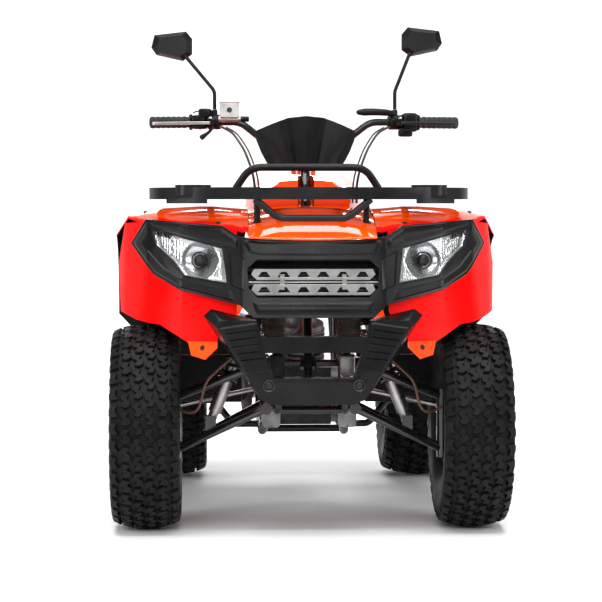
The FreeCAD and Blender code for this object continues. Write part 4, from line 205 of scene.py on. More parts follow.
def makeStreaks():
    # noise on places times a stretch for each direction: brushed and turned metal
    group, given, out = newGroup("brushStreaks", {"Stretch": ("Vector", (40, 600, 600))},
                                 {"Height": "Float", "Mask": "Float"})
    place = addNode(group, "TexCoord")
    scale = addNode(group, "VectorMath", operation="MULTIPLY")
    lines = addNode(group, "TexNoise", {"Scale": 1.0, "Detail": noise["streakDetail"]})
    wire(group, (place, "Object", scale, 0), (given, "Stretch", scale, 1), (scale, 0, lines, "Vector"),
         (lines, "Fac", out, "Height"), (lines, "Fac", out, "Mask"))
    return group


def makeDust():
    # a veil on what faces up: the normal's rise times the amount times noise
    group, given, out = newGroup("settledDust", {"Color": ("Color", (0.1, 0.1, 0.1, 1)), "Amount": ("Float", 0.2)},
                                 {"Color": "Color"})
    facing = addNode(group, "NewGeometry")
    part = addNode(group, "SeparateXYZ")
    place = addNode(group, "TexCoord")
    specks = addNode(group, "TexNoise", {"Scale": noise["dustScale"], "Detail": noise["dustDetail"]})
    rise = addNode(group, "MapRange", {"From Min": noise["dustFrom"]})
    amount = addNode(group, "Math", operation="MULTIPLY")
    broken = addNode(group, "Math", operation="MULTIPLY")
    mix = addNode(group, "Mix", {"B": noise["dust"]}, data_type="RGBA")
    wire(group, (facing, "Normal", part, 0), (part, "Z", rise, "Value"), (place, "Object", specks, "Vector"),
         (rise, "Result", amount, 0), (given, "Amount", amount, 1), (amount, 0, broken, 0),
         (specks, "Fac", broken, 1), (broken, 0, mix, "Factor"), (given, "Color", mix, "A"),
         (mix, "Result", out, "Color"))
    return group


groups = {"grain": makeMoulding(), "tone": makeTwoTone(), "streak": makeStreaks(), "dust": makeDust()}
finishes = {  # two tones, scale of their patches, roughness from and to, scale of grain or streaks, bump, the rest
    "tyreRubber": ((0.0025, 0.0025, 0.0025), (0.007, 0.007, 0.007), 26, (0.42, 0.62), 700, 0.25,
                   {"dust": 0.015, "gloss": 0.12}),
    "wheelPaint": ((0.005, 0.005, 0.006), (0.011, 0.011, 0.012), 12, (0.26, 0.38), 1500, 0.04,
                   {"coat": 0.3, "gloss": 0.22}),
    "framePaint": ((0.004, 0.004, 0.005), (0.009, 0.009, 0.010), 10, (0.22, 0.34), 1300, 0.05,
                   {"coat": 0.4, "gloss": 0.22}),
    "armPaint": ((0.005, 0.005, 0.006), (0.010, 0.010, 0.011), 14, (0.16, 0.26), 1300, 0.05,
                 {"coat": 0.7, "gloss": 0.35}),
    "carrierPaint": ((0.005, 0.005, 0.006), (0.011, 0.011, 0.012), 16, (0.26, 0.40), 900, 0.22, {"gloss": 0.18}),
    "mouldedBlack": ((0.003, 0.003, 0.0035), (0.008, 0.008, 0.009), 9, (0.24, 0.36), 1100, 0.16, {"gloss": 0.15}),
    "bodyOrange": ((0.86, 0.052, 0.0), (1.0, 0.080, 0.0), 5, (0.08, 0.13), 1600, 0.01, {"coat": 1.0}),
    # the orange plastic in shade, painted as a flat deep red: painted shade
    "paintedShadeRed": ((0.90, 0.0, 0.0), (0.98, 0.001, 0.0), 5, (0.30, 0.40), 1600, 0.02, {"gloss": 0.06}),
    "seatLeather": ((0.010, 0.010, 0.011), (0.022, 0.022, 0.024), 18, (0.38, 0.56), 420, 0.35, {"sheen": 0.15}),
    "seatStitch": ((0.05, 0.05, 0.052), (0.09, 0.09, 0.092), 60, (0.5, 0.65), 1800, 0.3, {}),
    "gripRubber": ((0.008, 0.008, 0.009), (0.016, 0.016, 0.017), 30, (0.5, 0.66), 900, 0.3, {"gloss": 0.25}),
    "exhaustPaint": ((0.016, 0.016, 0.017), (0.04, 0.038, 0.037), 20, (0.42, 0.6), 800, 0.15, {}),
    "cableSkin": ((0.008, 0.008, 0.009), (0.015, 0.015, 0.016), 40, (0.3, 0.46), 1200, 0.05, {}),
    "hoseBrown": ((0.07, 0.028, 0.016), (0.14, 0.06, 0.038), 30, (0.36, 0.5), 1200, 0.1, {}),
    "finBrown": ((0.05, 0.032, 0.026), (0.16, 0.11, 0.09), 40, (0.32, 0.5), 700, 0.3, {"metal": 0.8}),
    "tailRed": ((0.30, 0.003, 0.003), (0.5, 0.006, 0.005), 30, (0.08, 0.14), 1600, 0.02, {"coat": 0.8}),
    "steel": ((0.34, 0.325, 0.32), (0.52, 0.505, 0.495), 30, (0.26, 0.38), (40, 700, 700), 0.012, {"metal": 1.0}),
    "grilleMetal": ((0.34, 0.335, 0.33), (0.50, 0.49, 0.485), 20, (0.26, 0.38), (60, 900, 900), 0.010,
                    {"metal": 1.0}),
    "chromeBowl": ((0.52, 0.53, 0.53), (0.74, 0.75, 0.75), 20, (0.18, 0.28), (300, 300, 300), 0.0, {"metal": 0.75}),
    "castMetal": ((0.14, 0.14, 0.145), (0.28, 0.28, 0.285), 35, (0.42, 0.6), 500, 0.4, {"metal": 1.0}),
    "darkCast": ((0.016, 0.016, 0.017), (0.04, 0.04, 0.042), 35, (0.36, 0.5), 500, 0.3, {"metal": 0.5, "gloss": 0.3}),
    "zincBolt": ((0.36, 0.35, 0.32), (0.55, 0.53, 0.49), 60, (0.25, 0.42), (200, 200, 200), 0.012, {"metal": 1.0}),
    "blackBolt": ((0.012, 0.012, 0.013), (0.026, 0.026, 0.028), 60, (0.28, 0.42), 900, 0.1, {"metal": 0.5}),
    "mirrorFace": ((0.78, 0.8, 0.83), (0.82, 0.84, 0.87), 4, (0.015, 0.025), (20, 20, 20), 0.0, {"metal": 1.0}),
}
shaderInputs = {"metal": ("Metallic", 0), "coat": ("Coat Weight", 0), "sheen": ("Sheen Weight", 0),
                "gloss": ("Specular IOR Level", 0.5)}
lens = {"index": 1.25, "tint": (0.98, 0.99, 1.0, 1), "grain": 40, "rough": 0.03}
surface = {"bumpHeight": 0.0006, "coatRough": 0.04}


def makeFinish(name, low, high, scale, rough, texture, bumpiness, more):
    # tone, roughness and bump each wander with their own noise, so no surface is one flat value
    material, tree, shader = newMaterial(name)
    colour = addNode(tree, "Group", {"Low": (*low, 1), "High": (*high, 1), "Scale": scale}, node_tree=groups["tone"])
    if "dust" in more:
        dust = addNode(tree, "Group", {"Amount": more["dust"]}, node_tree=groups["dust"])
        wire(tree, (colour, "Color", dust, "Color"))
        colour = dust
    drawn = isinstance(texture, tuple)
    relief = addNode(tree, "Group", {"Stretch" if drawn else "Scale": texture},
                     node_tree=groups["streak" if drawn else "grain"])
    roughness = spread(tree, *rough)
    wire(tree, (colour, "Color", shader, "Base Color"), (relief, "Mask", roughness, "Value"),
         (roughness, "Result", shader, "Roughness"))
    if bumpiness:
        bump = addNode(tree, "Bump", {"Strength": bumpiness, "Distance": surface["bumpHeight"]})
        wire(tree, (relief, "Height", bump, "Height"), (bump, "Normal", shader, "Normal"))
    for key, (label, usual) in shaderInputs.items():
        shader.inputs[label].default_value = more.get(key, usual)
    shader.inputs["Coat Roughness"].default_value = surface["coatRough"]
    return material


def makeClearLens():
    # clear plastic, its roughness a little of the grain's mask
    material, tree, shader = newMaterial("clearLens")
    for label, value in {"Transmission Weight": 1.0, "IOR": lens["index"], "Base Color": lens["tint"]}.items():
        shader.inputs[label].default_value = value
    relief = addNode(tree, "Group", {"Scale": lens["grain"]}, node_tree=groups["grain"])
    roughness = addNode(tree, "MapRange", {"To Min": 0.0, "To Max": lens["rough"]})
    wire(tree, (relief, "Mask", roughness, "Value"), (roughness, "Result", shader, "Roughness"))
    return material


finish = {name: makeFinish(name, *say) for name, say in finishes.items()}
finish["clearLens"] = makeClearLens()
slotFinish = {
    "tyre": "tyreRubber", "wheel_metal": "wheelPaint", "frame_metal": "framePaint", "arm_metal": "armPaint",
    "carrier_metal": "carrierPaint", "black_plastic": "mouldedBlack", "body_plastic": "bodyOrange",
    "lamp_bowl": "chromeBowl", "lamp_lens": "clearLens", "grille_metal": "grilleMetal", "tail_lens": "tailRed",
    "seat_cover": "seatLeather", "grip_rubber": "gripRubber", "mirror_face": "mirrorFace", "steel": "steel",
    "engine_metal": "castMetal", "exhaust_metal": "exhaustPaint", "cable_rubber": "cableSkin",
}
for nodeName, thing in frame["nodes"].items():
    thing.data.materials.clear()
    thing.data.materials.append(finish[slotFinish[slotOf[nodeName]]])
print("finishes ready")

mending = {"merge": 0.00002, "flat": 1.5, "cutNear": 0.00001, "bevelFrom": 32}


def gridFaces(rows, columns, closeRows=False, closeColumns=False):
    # quads between neighbouring rows and columns of a grid
    r, c = np.meshgrid(np.arange(rows - (not closeRows)), np.arange(columns - (not closeColumns)), indexing="ij")
    r, c = r.ravel(), c.ravel()
    nextRow, nextColumn = (r + 1) % rows * columns, (c + 1) % columns
    return np.stack([r * columns + c, nextRow + c, nextRow + nextColumn, r * columns + nextColumn], -1).tolist()


def borderLoop(rows, columns):
    # the grid's rim, once round
    right = np.arange(1, rows) * columns + columns - 1
    low = (rows - 1) * columns + np.arange(columns - 2, -1, -1)
    left = np.arange(rows - 2, 0, -1) * columns
    return np.concatenate([np.arange(columns), right, low, left])


def outward(points, faces):
    # the enclosed volume is a sum of corner products; where it is negative, every face is turned round
    points = np.asarray(points, float)
    volume = 0.0
    for corners in {len(f) for f in faces}:
        loops = np.array([f for f in faces if len(f) == corners])
        for k in range(1, corners - 1):
            volume += np.sum(points[loops[:, 0]] * np.cross(points[loops[:, k]], points[loops[:, k + 1]]))
    return faces if volume >= 0 else [list(f)[::-1] for f in faces]


def joinMeshes(parts):
    # the parts' points in a row, each part's faces counted on from the points before it
    points, faces, start = [], [], 0
    for p, f in parts:
        points.append(np.asarray(p, float).reshape(-1, 3))
        faces += [[int(i) + start for i in face] for face in f]
        start += len(points[-1])
    return np.concatenate(points), faces


def closedSheet(front, back):
    # two grids of one size, joined round their rims into a closed wall
    rows, columns = front.shape[:2]
    count = rows * columns
    skin, rim = gridFaces(rows, columns), borderLoop(rows, columns)
    band = [[a, b, b + count, a + count] for a, b in zip(rim, np.roll(rim, -1))]
    points = np.vstack([front.reshape(-1, 3), back.reshape(-1, 3)])
    return points, outward(points, skin + [[i + count for i in f[::-1]] for f in skin] + band)


def alongLine(line, count):
    # points evenly spaced along a bent line
    line = np.asarray(line, float)
    step = np.concatenate([[0], np.cumsum(np.linalg.norm(np.diff(line, axis=0), axis=1))])
    at = np.linspace(0, step[-1], count)
    return np.stack([np.interp(at, step, line[:, k]) for k in range(line.shape[1])], -1)


def smoothLine(line, count):
    # corners rounded by passes of a weighted mean, a third as many as points, the ends held
    line = alongLine(line, count)
    for _ in range(count // 3):
        line[1:-1] = line[1:-1] / 2 + (line[:-2] + line[2:]) / 4
    return alongLine(line, count)


def fullTurn(count):
    # angles evenly round a circle
    return np.linspace(0, 2 * pi, count, endpoint=False)


def ringAxes(axis):
    # two directions square to an axis and to each other
    axis = np.asarray(axis, float) / np.linalg.norm(axis)
    one = np.cross(axis, (0, 0, 1.0) if abs(axis[2]) < 0.9 else (1.0, 0, 0))
    one /= np.linalg.norm(one)
    return axis, one, np.cross(axis, one)


def discs(rows, count):
    # the two ends of rows of rings
    return [list(range(count))[::-1], list(range((rows - 1) * count, rows * count))]


def tubeAlong(path, radius, around=12):
    # circles carried along a path, each square to it, the first direction passed on from circle to circle
    path = np.asarray(path, float)
    n = len(path)
    run = np.gradient(path, axis=0)
    run /= np.linalg.norm(run, axis=1)[:, None]
    across = np.zeros_like(run)
    last = ringAxes(run[0])[1]
    for k in range(n):
        last = last - run[k] * np.dot(last, run[k])
        last /= np.linalg.norm(last)
        across[k] = last
    third = np.cross(run, across)
    turn = fullTurn(around)
    reach = np.broadcast_to(np.asarray(radius, float), (n,))[:, None, None]
    ring = across[:, None, :] * np.cos(turn)[None, :, None] + third[:, None, :] * np.sin(turn)[None, :, None]
    points = (path[:, None, :] + ring * reach).reshape(-1, 3)
    return points, outward(points, gridFaces(n, around, False, True) + discs(n, around))


def turned(profile, count, centre, axis, ring=False):
    # a profile of (along, radius) pairs spun about an axis, closed by its end discs, or in itself where it is a ring
    axis, one, two = ringAxes(axis)
    profile = np.asarray(profile, float)
    turn = fullTurn(count)
    circle = one[None, :] * np.cos(turn)[:, None] + two[None, :] * np.sin(turn)[:, None]
    along, radius = profile[:, 0][:, None, None], profile[:, 1][:, None, None]
    points = (np.asarray(centre, float) + axis * along + circle[None] * radius).reshape(-1, 3)
    ends = [] if ring else discs(len(profile), count)
    return points, outward(points, gridFaces(len(profile), count, ring, True) + ends)


def softened(value, power):
    # the value's sign times its size to a small power
    return np.sign(value) * np.abs(value) ** (2 / power)


def roundedBlock(centre, half, power=5.0, rows=14, columns=24, tilt=0.0, swing=0.0):
    # sines and cosines raised to a small power: a box with soft edges, tilted about Y, then swung about Z
    lat = np.linspace(-pi / 2, pi / 2, rows)[1:-1]
    lon = np.linspace(-pi, pi, columns, endpoint=False)
    flat = softened(np.cos(lat), power)[:, None]
    x = flat * softened(np.cos(lon), power)[None] * half[0]
    y = flat * softened(np.sin(lon), power)[None] * half[1]
    z = np.broadcast_to((softened(np.sin(lat), power) * half[2])[:, None], x.shape)
    grid = np.vstack([np.stack([x, y, z], -1).reshape(-1, 3), (0, 0, -half[2]), (0, 0, half[2])])
    grid = grid @ np.array([[np.cos(tilt), 0, -np.sin(tilt)], [0, 1, 0], [np.sin(tilt), 0, np.cos(tilt)]])
    grid = grid @ np.array([[np.cos(swing), np.sin(swing), 0], [-np.sin(swing), np.cos(swing), 0], [0, 0, 1]])
    points = grid + np.asarray(centre, float)
    n, k = rows - 2, np.arange(columns)
    after = (k + 1) % columns
    last = (n - 1) * columns
    low = np.stack([np.full(columns, n * columns), k, after], -1).tolist()
    high = np.stack([np.full(columns, n * columns + 1), last + after, last + k], -1).tolist()
    return points, outward(points, gridFaces(n, columns, False, True) + low + high)


bolt = {"around": 14, "flange": [(-0.4, 1.35), (0.2, 1.35), (0.35, 1.1)],
        "head": [(0.1, 1.0), (0.88, 1.0), (1, 0.86)]}


def boltHead(at, axis, radius, height):
    # a low flange with a six-sided head on it: shares along the height, and of the radius
    axis, one, two = ringAxes(axis)
    at = np.asarray(at, float)
    flange = turned([(height * h, radius * s) for h, s in bolt["flange"]], bolt["around"], at, axis)
    turn = np.arange(6) * pi / 3
    ring = one[None] * np.cos(turn)[:, None] + two[None] * np.sin(turn)[:, None]
    points = np.concatenate([at + axis * height * h + ring * radius * s for h, s in bolt["head"]])
    return joinMeshes([flange, (points, outward(points, gridFaces(3, 6, False, True) + discs(3, 6)))])


def prismAlong(outline, start, end, where):
    # a flat outline carried from start to end along one axis; where names the outline's two axes and the third
    outline = np.asarray(outline, float)
    n = len(outline)
    points = np.zeros((2 * n, 3))
    points[:, where[0]], points[:, where[1]] = np.tile(outline[:, 0], 2), np.tile(outline[:, 1], 2)
    points[:n, where[2]], points[n:, where[2]] = start, end
    k = np.arange(n)
    band = np.stack([k, (k + 1) % n, (k + 1) % n + n, k + n], -1).tolist()
    return points, outward(points, band + discs(2, n))


def markSharp(thing, angle):
    # edges whose faces meet at more than the angle stay sharp
    work = bmesh.new()
    work.from_mesh(thing.data)
    for edge in work.edges:
        edge.smooth = len(edge.link_faces) == 2 and edge.calc_face_angle(0) < angle
    work.to_mesh(thing.data)
    work.free()


def dress(thing, body, material, instead=(), smooth=40, bevel=0, levels=0):
    if bevel:
        soften = thing.modifiers.new("bevel", "BEVEL")
        soften.width, soften.segments = bevel, 2
        soften.limit_method, soften.angle_limit = "ANGLE", radians(mending["bevelFrom"])
    if levels:
        divide = thing.modifiers.new("divide", "SUBSURF")
        divide.levels = divide.render_levels = levels
    thing.data.materials.append(finish[material])
    thing.data.shade_smooth()
    markSharp(thing, radians(smooth))
    if body:
        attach(thing, body)
    if instead:
        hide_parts(*instead)
    return thing


def piece(name, parts, body, slot, material, instead=(), smooth=40, bevel=0):
    # one object from several parts, dressed
    return dress(addObject(name, meshFrom(name, *joinMeshes(parts))), body, material, instead, smooth, bevel)


def cadCopy(node, name, material=None, bevel=0.0012, smooth=32, dissolve=True, cuts=()):
    # the node's own form, merged, its flat faces joined, cut where two colours meet, and its edges rounded
    work = bmesh.new()
    work.from_mesh(frame["nodes"][node].data)
    bmesh.ops.remove_doubles(work, verts=work.verts, dist=mending["merge"])
    if dissolve:
        bmesh.ops.dissolve_limit(work, angle_limit=radians(mending["flat"]), verts=work.verts, edges=work.edges)
    for point, normal in cuts:
        everything = work.verts[:] + work.edges[:] + work.faces[:]
        bmesh.ops.bisect_plane(work, geom=everything, plane_co=point, plane_no=normal, dist=mending["cutNear"])
    mesh = bpy.data.meshes.new(name)
    work.to_mesh(mesh)
    work.free()
    mesh.materials.clear()
    slot = slotOf[node]
    return dress(addObject(name, mesh), bodyOf[node], material or slotFinish[slot], (node,), smooth, bevel)


def paint(thing, material, test):
    # another finish on the faces whose middles and normals pass a test
    mesh = thing.data
    count = len(mesh.polygons)
    middle, normal, index = np.zeros(count * 3), np.zeros(count * 3), np.zeros(count, dtype=np.int32)
    mesh.polygons.foreach_get("center", middle)
    mesh.polygons.foreach_get("normal", normal)
    mesh.polygons.foreach_get("material_index", index)
    mesh.materials.append(finish[material])
    index[test(middle.reshape(-1, 3), normal.reshape(-1, 3))] = len(mesh.materials) - 1
    mesh.polygons.foreach_set("material_index", index)
    mesh.update()


blackPart = (chassis, "black_plastic", "mouldedBlack")
print("tools ready")

tyres = {
    "front": {"x": 0.465, "y": -0.600, "z": 0.292, "radius": 0.292, "half": 0.098, "rim": 0.128, "rimHalf": 0.062,
              "rows": 36, "knob": 0.0105, "crown": 0.021},
    "rear": {"x": 0.425, "y": 0.600, "z": 0.279, "radius": 0.279, "half": 0.127, "rim": 0.128, "rimHalf": 0.092,
             "rows": 34, "knob": 0.0115, "crown": 0.026},
}
tread = {
    "fall": 2.6, "flat": 0.93, "around": 112, "well": 0.010, "sink": 0.0008, "edge": 0.999, "drop": 0.004,
    "dropFrom": 0.95,
    # wall: across as a share of the half width, metres below the shoulder; bead: metres past the rim
    "wall": [(0.985, 0.010), (0.995, 0.026), (0.985, 0.046), (0.955, 0.062), (0.965, 0.066), (0.955, 0.070),
             (0.90, 0.092)],
    "bead": [(0.010, 0.014), (0.004, 0.006), (0.0, 0.0012), (-0.012, 0.0012)],
    # each layer of a block: how high it stands as a share of the block's height, and how wide
    "layers": [(-0.35, 1.07), (0.72, 1.0), (1.0, 0.9)],
    # rib on the wall: across as a share, metres above the shoulder, slant along as a share of the pitch
    "rib": [(0.955, 0.004, 0), (0.998, -0.004, 0), (0.998, -0.032, 0.34), (0.97, -0.038, 0.34)],
    "ribFrom": (-0.34, 0.10),
    "ribFaces": [[0, 1, 2, 3], [7, 6, 5, 4], [0, 4, 5, 1], [1, 5, 6, 2], [2, 6, 7, 3], [3, 7, 4, 0]],
}
knobShapes = {  # one side of the tread: across as a share of the half width, along as a share of the pitch
    "inner": [(0.02, -0.28), (0.15, -0.46), (0.27, -0.38), (0.20, -0.10), (0.33, 0.10), (0.26, 0.40),
              (0.09, 0.36), (0.16, 0.08), (0.03, -0.04)],
    "middle": [(0.36, -0.30), (0.51, -0.45), (0.65, -0.32), (0.57, -0.04), (0.68, 0.18), (0.59, 0.44),
               (0.42, 0.36), (0.49, 0.08), (0.37, -0.04)],
    "outer": [(0.72, -0.40), (0.95, -0.46), (0.985, 0.02), (0.93, 0.30), (0.77, 0.24), (0.82, -0.08)],
}


def crownRadius(size, x):
    # the tread drops towards its shoulders with a power of the distance from the middle
    return size["radius"] - size["crown"] * np.abs(x / size["half"]) ** tread["fall"]


def carcass(size):
    # half a profile from the crown down the wall to the bead and inside the rim, mirrored for the other half
    half, knob = size["half"], size["knob"]
    x = np.linspace(0, tread["flat"] * half, 9)
    top = np.stack([x, crownRadius(size, x) - knob], -1)
    wall = np.array(tread["wall"]) * [half, -1] + [0, crownRadius(size, half) - knob]
    bead = np.array(tread["bead"]) + [size["rimHalf"], size["rim"]]
    right = np.vstack([top, wall, bead, [(0.0, size["rim"] + tread["well"])]])
    return np.vstack([right, (right[::-1][1:] * [-1, 1])[:-1]])


def aroundAxle(x, angle, reach, centre):
    # across stays across, and reach is turned by the angle about the axle
    return np.stack([np.broadcast_to(x, angle.shape), reach * np.cos(angle), reach * np.sin(angle)], -1) + centre


def ringOfBlocks(blocks, faces):
    # the faces of one block counted on for each of the blocks round the tyre
    rows = len(blocks)
    points = blocks.reshape(-1, 3)
    count = len(points) // rows
    return points, outward(points, [[i + k * count for i in f] for k in range(rows) for f in faces])


def knobs(size, centre):
    # angle = place along the tread over the radius; reach = the crown's plus the layer's share of the height
    half, rows, knob, radius = size["half"], size["rows"], size["knob"], size["radius"]
    pitch = 2 * pi * radius / rows
    lift, shrink = np.array(tread["layers"]).T
    ribX, ribRise, ribSlant = np.array(tread["rib"]).T
    parts = []
    for which, outline in knobShapes.items():
        base = np.array(outline) * [half, pitch]
        n = len(base)
        flat = base.mean(0) + (base - base.mean(0)) * shrink[:, None, None]
        own = gridFaces(3, n, False, True) + discs(3, n)
        for mirror in (1, -1):
            late = (0.5 if mirror < 0 else 0) + (0.5 if which == "middle" else 0)
            start = ((np.arange(rows) + late) * pitch)[:, None, None]
            x = np.clip(flat[..., 0] * mirror, -half * tread["edge"], half * tread["edge"])
            reach = crownRadius(size, x) + knob * (lift[:, None] - 1) - tread["sink"]
            if which == "outer":
                reach = reach - tread["drop"] * (np.abs(x) / half > tread["dropFrom"])
            turn = (flat[None, ..., 1] * mirror + start) / radius
            parts.append(ringOfBlocks(aroundAxle(x, turn, reach, centre), own))
            if which == "outer":
                # a slanted rib down the wall below each outer block
                spreadOut = (np.array(tread["ribFrom"])[:, None] + ribSlant[None]) * pitch * mirror
                rise = crownRadius(size, half) - knob + ribRise
                ribs = aroundAxle(ribX * half * mirror, (spreadOut[None] + start) / radius, rise, centre)
                parts.append(ringOfBlocks(ribs, tread["ribFaces"]))
    return parts


def makeTyre(which, word, sign):
    # the profile spun about the axle, with the blocks on it
    size = tyres[which]
    centre = np.array([sign * size["x"], size["y"], size["z"]])
    profile, around = carcass(size), tread["around"]
    turn = np.broadcast_to(fullTurn(around), (len(profile), around))
    points = aroundAxle(profile[:, :1], turn, profile[:, 1:], centre)
    skin = (points, outward(points.reshape(-1, 3), gridFaces(len(profile), around, True, True)))
    node = f"tyre_{which}_{word}"
    piece(f"knobby_{which}_{word}", [skin] + knobs(size, centre), bodyOf[node], "tyre", "tyreRubber", (node,), 28)


for which in tyres:
    for word, sign in sides.items():
        makeTyre(which, word, sign)
print("tyres ready")

face = {"reach": 0.915, "sweep": 0.345, "lean": 0.062, "low": 0.617, "tall": 0.268, "half": 0.511, "spare": 0.005,
        "wide": 1.02}
planShares = np.array([(0, 0), (0.37, 0.03), (0.7, 0.29), (0.88, 0.55), (1.01, 1), (1.055, 1.2), (1.1, 1.32)])
lampShares = np.array([(0.458, 0.34), (0.695, 0.414), (0.75, 0.556), (0.849, 0.72), (0.873, 0.9), (0.483, 0.709)])


def faceY(x, z, depth=0.0):
    # how far forward the mask stands at a place of the front view: swept back to the sides, leaning back upwards
    back = np.interp(np.abs(x) / (face["half"] * face["wide"]), planShares[:, 0], planShares[:, 1])
    lean = (z - face["low"] + face["spare"]) / (face["tall"] + 2 * face["spare"])
    return -face["reach"] + depth + face["lean"] * lean + face["sweep"] * back


def facePoint(shares):
    # shares of the mask's half width and height as places of the front view
    shares = np.asarray(shares, float)
    return np.stack([shares[..., 0] * face["half"], face["low"] + shares[..., 1] * face["tall"]], -1)


lamp = {"x": 0.311, "z": 0.771, "bowl": 0.049, "deep": 0.026, "floor": 0.020, "lip": 0.006, "rows": 44,
        "columns": 96, "inset": 0.985, "edgeU": 12, "edgeV": 7, "edgePower": 0.6, "flute": 0.0010, "flutes": 420,
        "ring": 0.0022, "ringAt": 1.08, "ringWide": 0.06, "window": 0.006, "windowAt": 0.385, "windowWide": 0.004,
        "set": 0.010, "wall": 0.018, "bulbSet": 0.024,
        "bulb": [(0.024, 0.017), (0.006, 0.017), (0.002, 0.015), (-0.002, 0.0115), (-0.004, 0.007),
                 (-0.0045, 0.001)],
        "bulbRing": [(0.020, 0.0245), (0.004, 0.0245), (0.002, 0.0235), (0.004, 0.0205), (0.020, 0.0205)],
        "marks": 4, "markAt": (0.400, 0.838), "markStep": (0.0100, 0.0034), "markSet": 0.0165,
        "markHalf": (0.0027, 0.003, 0.0085), "markGrow": 0.0006, "markLean": 0.25}
glass = {"rows": 20, "columns": 44, "inset": 0.975, "swell": 0.0026, "front": 0.0062, "back": 0.0080,
         "backShare": 0.9, "frameSet": 0.002, "frameRadius": 0.0032, "frameSteps": 90}


def lampGrid(sign, rows, columns, inset):
    # the lamp's outline filled between its lower and upper edges, drawn in towards its middle
    low = alongLine(facePoint(lampShares[[0, 1, 2, 3]]), columns)
    high = alongLine(facePoint(lampShares[[5, 4]]), columns)
    v = np.linspace(0, 1, rows)[:, None, None]
    flat = low[None] * (1 - v) + high[None] * v
    middle = flat.reshape(-1, 2).mean(0)
    flat = (middle + (flat - middle) * inset) * [sign, 1]
    return flat[..., 0], flat[..., 1]


def fromEdge(share):
    # how far a share is from the nearer of nought and one
    return np.minimum(share, 1 - share)


def lampReflector(word, sign):
    # depth = raised edge + round bowl + straight flutes outside it - a ring round it - a stepped outer window
    rows, columns = lamp["rows"], lamp["columns"]
    x, z = lampGrid(sign, rows, columns, lamp["inset"])
    r = np.hypot(x - sign * lamp["x"], z - lamp["z"]) / lamp["bowl"]
    bowl = lamp["deep"] * np.clip(1 - r ** 2, 0, 1) ** 0.5
    flutes = lamp["flute"] * np.abs(np.sin(x * lamp["flutes"])) * (r > 1)
    ring = lamp["ring"] * np.exp(-((r - lamp["ringAt"]) / lamp["ringWide"]) ** 2)
    window = np.clip((np.abs(x) - lamp["windowAt"]) / lamp["windowWide"], 0, 1) * lamp["window"]
    u, v = np.linspace(0, 1, columns)[None, :], np.linspace(0, 1, rows)[:, None]
    near = np.minimum(fromEdge(u) * lamp["edgeU"], fromEdge(v) * lamp["edgeV"])
    edge = np.clip(near, 0, 1) ** lamp["edgePower"]
    depth = lamp["lip"] + (lamp["floor"] - lamp["lip"]) * edge
    front = np.stack([x, faceY(x, z, depth + bowl + flutes - ring - window + lamp["set"]), z], -1)
    sheet = closedSheet(front, front + [0, lamp["wall"], 0])
    piece(f"headlamp_bowl_{word}", [sheet], chassis, "lamp_bowl", "chromeBowl", ("headlamps",), 50)
    at = (sign * lamp["x"], float(faceY(lamp["x"], lamp["z"], lamp["bulbSet"])), lamp["z"])
    bulb = [turned(lamp["bulb"], 28, at, (0, 1, 0)), turned(lamp["bulbRing"], 32, at, (0, 1, 0), True)]
    piece(f"headlamp_bulb_{word}", bulb, chassis, "lamp_bowl", "darkCast", (), 40)
    marks = []
    for k in range(lamp["marks"]):
        cx, cz = lamp["markAt"][0] + lamp["markStep"][0] * k, lamp["markAt"][1] + lamp["markStep"][1] * k
        half = np.array(lamp["markHalf"]) + [0, 0, lamp["markGrow"] * k]
        centre = (sign * cx, float(faceY(cx, cz, lamp["markSet"])), cz)
        marks.append(roundedBlock(centre, half, 5, 8, 12, sign * lamp["markLean"]))
    piece(f"headlamp_marks_{word}", marks, chassis, "lamp_bowl", "darkCast", (), 50)


def lampLens(word, sign):
    # a clear wall that swells by the product of two quartic falls, in a thin black frame
    x, z = lampGrid(sign, glass["rows"], glass["columns"], glass["inset"])
    u, v = np.linspace(-1, 1, glass["columns"])[None, :], np.linspace(-1, 1, glass["rows"])[:, None]
    bulge = glass["swell"] * (1 - u ** 4) * (1 - v ** 4)
    front = np.stack([x, faceY(x, z, glass["front"]) - bulge, z], -1)
    back = np.stack([x, faceY(x, z, glass["back"]) - bulge * glass["backShare"], z], -1)
    piece(f"headlamp_glass_{word}", [closedSheet(front, back)], chassis, "lamp_lens", "clearLens",
          ("headlamp_lenses",), 60)
    rim = alongLine(facePoint(np.vstack([lampShares, lampShares[:1]])), glass["frameSteps"]) * [sign, 1]
    path = np.stack([rim[:, 0], faceY(rim[:, 0], rim[:, 1], glass["frameSet"]), rim[:, 1]], -1)
    piece(f"headlamp_frame_{word}", [tubeAlong(path, glass["frameRadius"], 8)], *blackPart, (), 60)


facets = {  # two lines of the front view in metres, and how far the strip between them stands out
    "cheek": {"one": [(0.461, 0.880), (0.505, 0.816), (0.441, 0.737), (0.364, 0.695), (0.212, 0.660)],
              "two": [(0.453, 0.864), (0.471, 0.815), (0.413, 0.753), (0.352, 0.716), (0.222, 0.690)],
              "rise": 0.007, "round": False},
    "brow": {"one": [(0.456, 0.881), (0.250, 0.863), (0.206, 0.834)],
             "two": [(0.448, 0.866), (0.247, 0.815), (0.206, 0.803)], "rise": 0.010, "round": True},
    "column": {"one": [(0.237, 0.802), (0.227, 0.704)], "two": [(0.187, 0.776), (0.187, 0.690)],
               "rise": 0.009, "round": False},
    "visor": {"one": [(0.197, 0.832), (0.143, 0.825), (0.0, 0.821), (-0.143, 0.825), (-0.197, 0.832)],
              "two": [(0.180, 0.794), (0.150, 0.786), (0.0, 0.785), (-0.150, 0.786), (-0.180, 0.794)],
              "rise": 0.006, "round": False},
    "chin": {"one": [(0.172, 0.664), (-0.172, 0.664)], "two": [(0.158, 0.624), (-0.158, 0.624)],
             "rise": 0.006, "round": True},
}
facet = {"rows": 11, "columns": 70, "edge": 0.2, "end": 0.035, "roundness": 0.7, "front": 0.001, "back": 0.006}
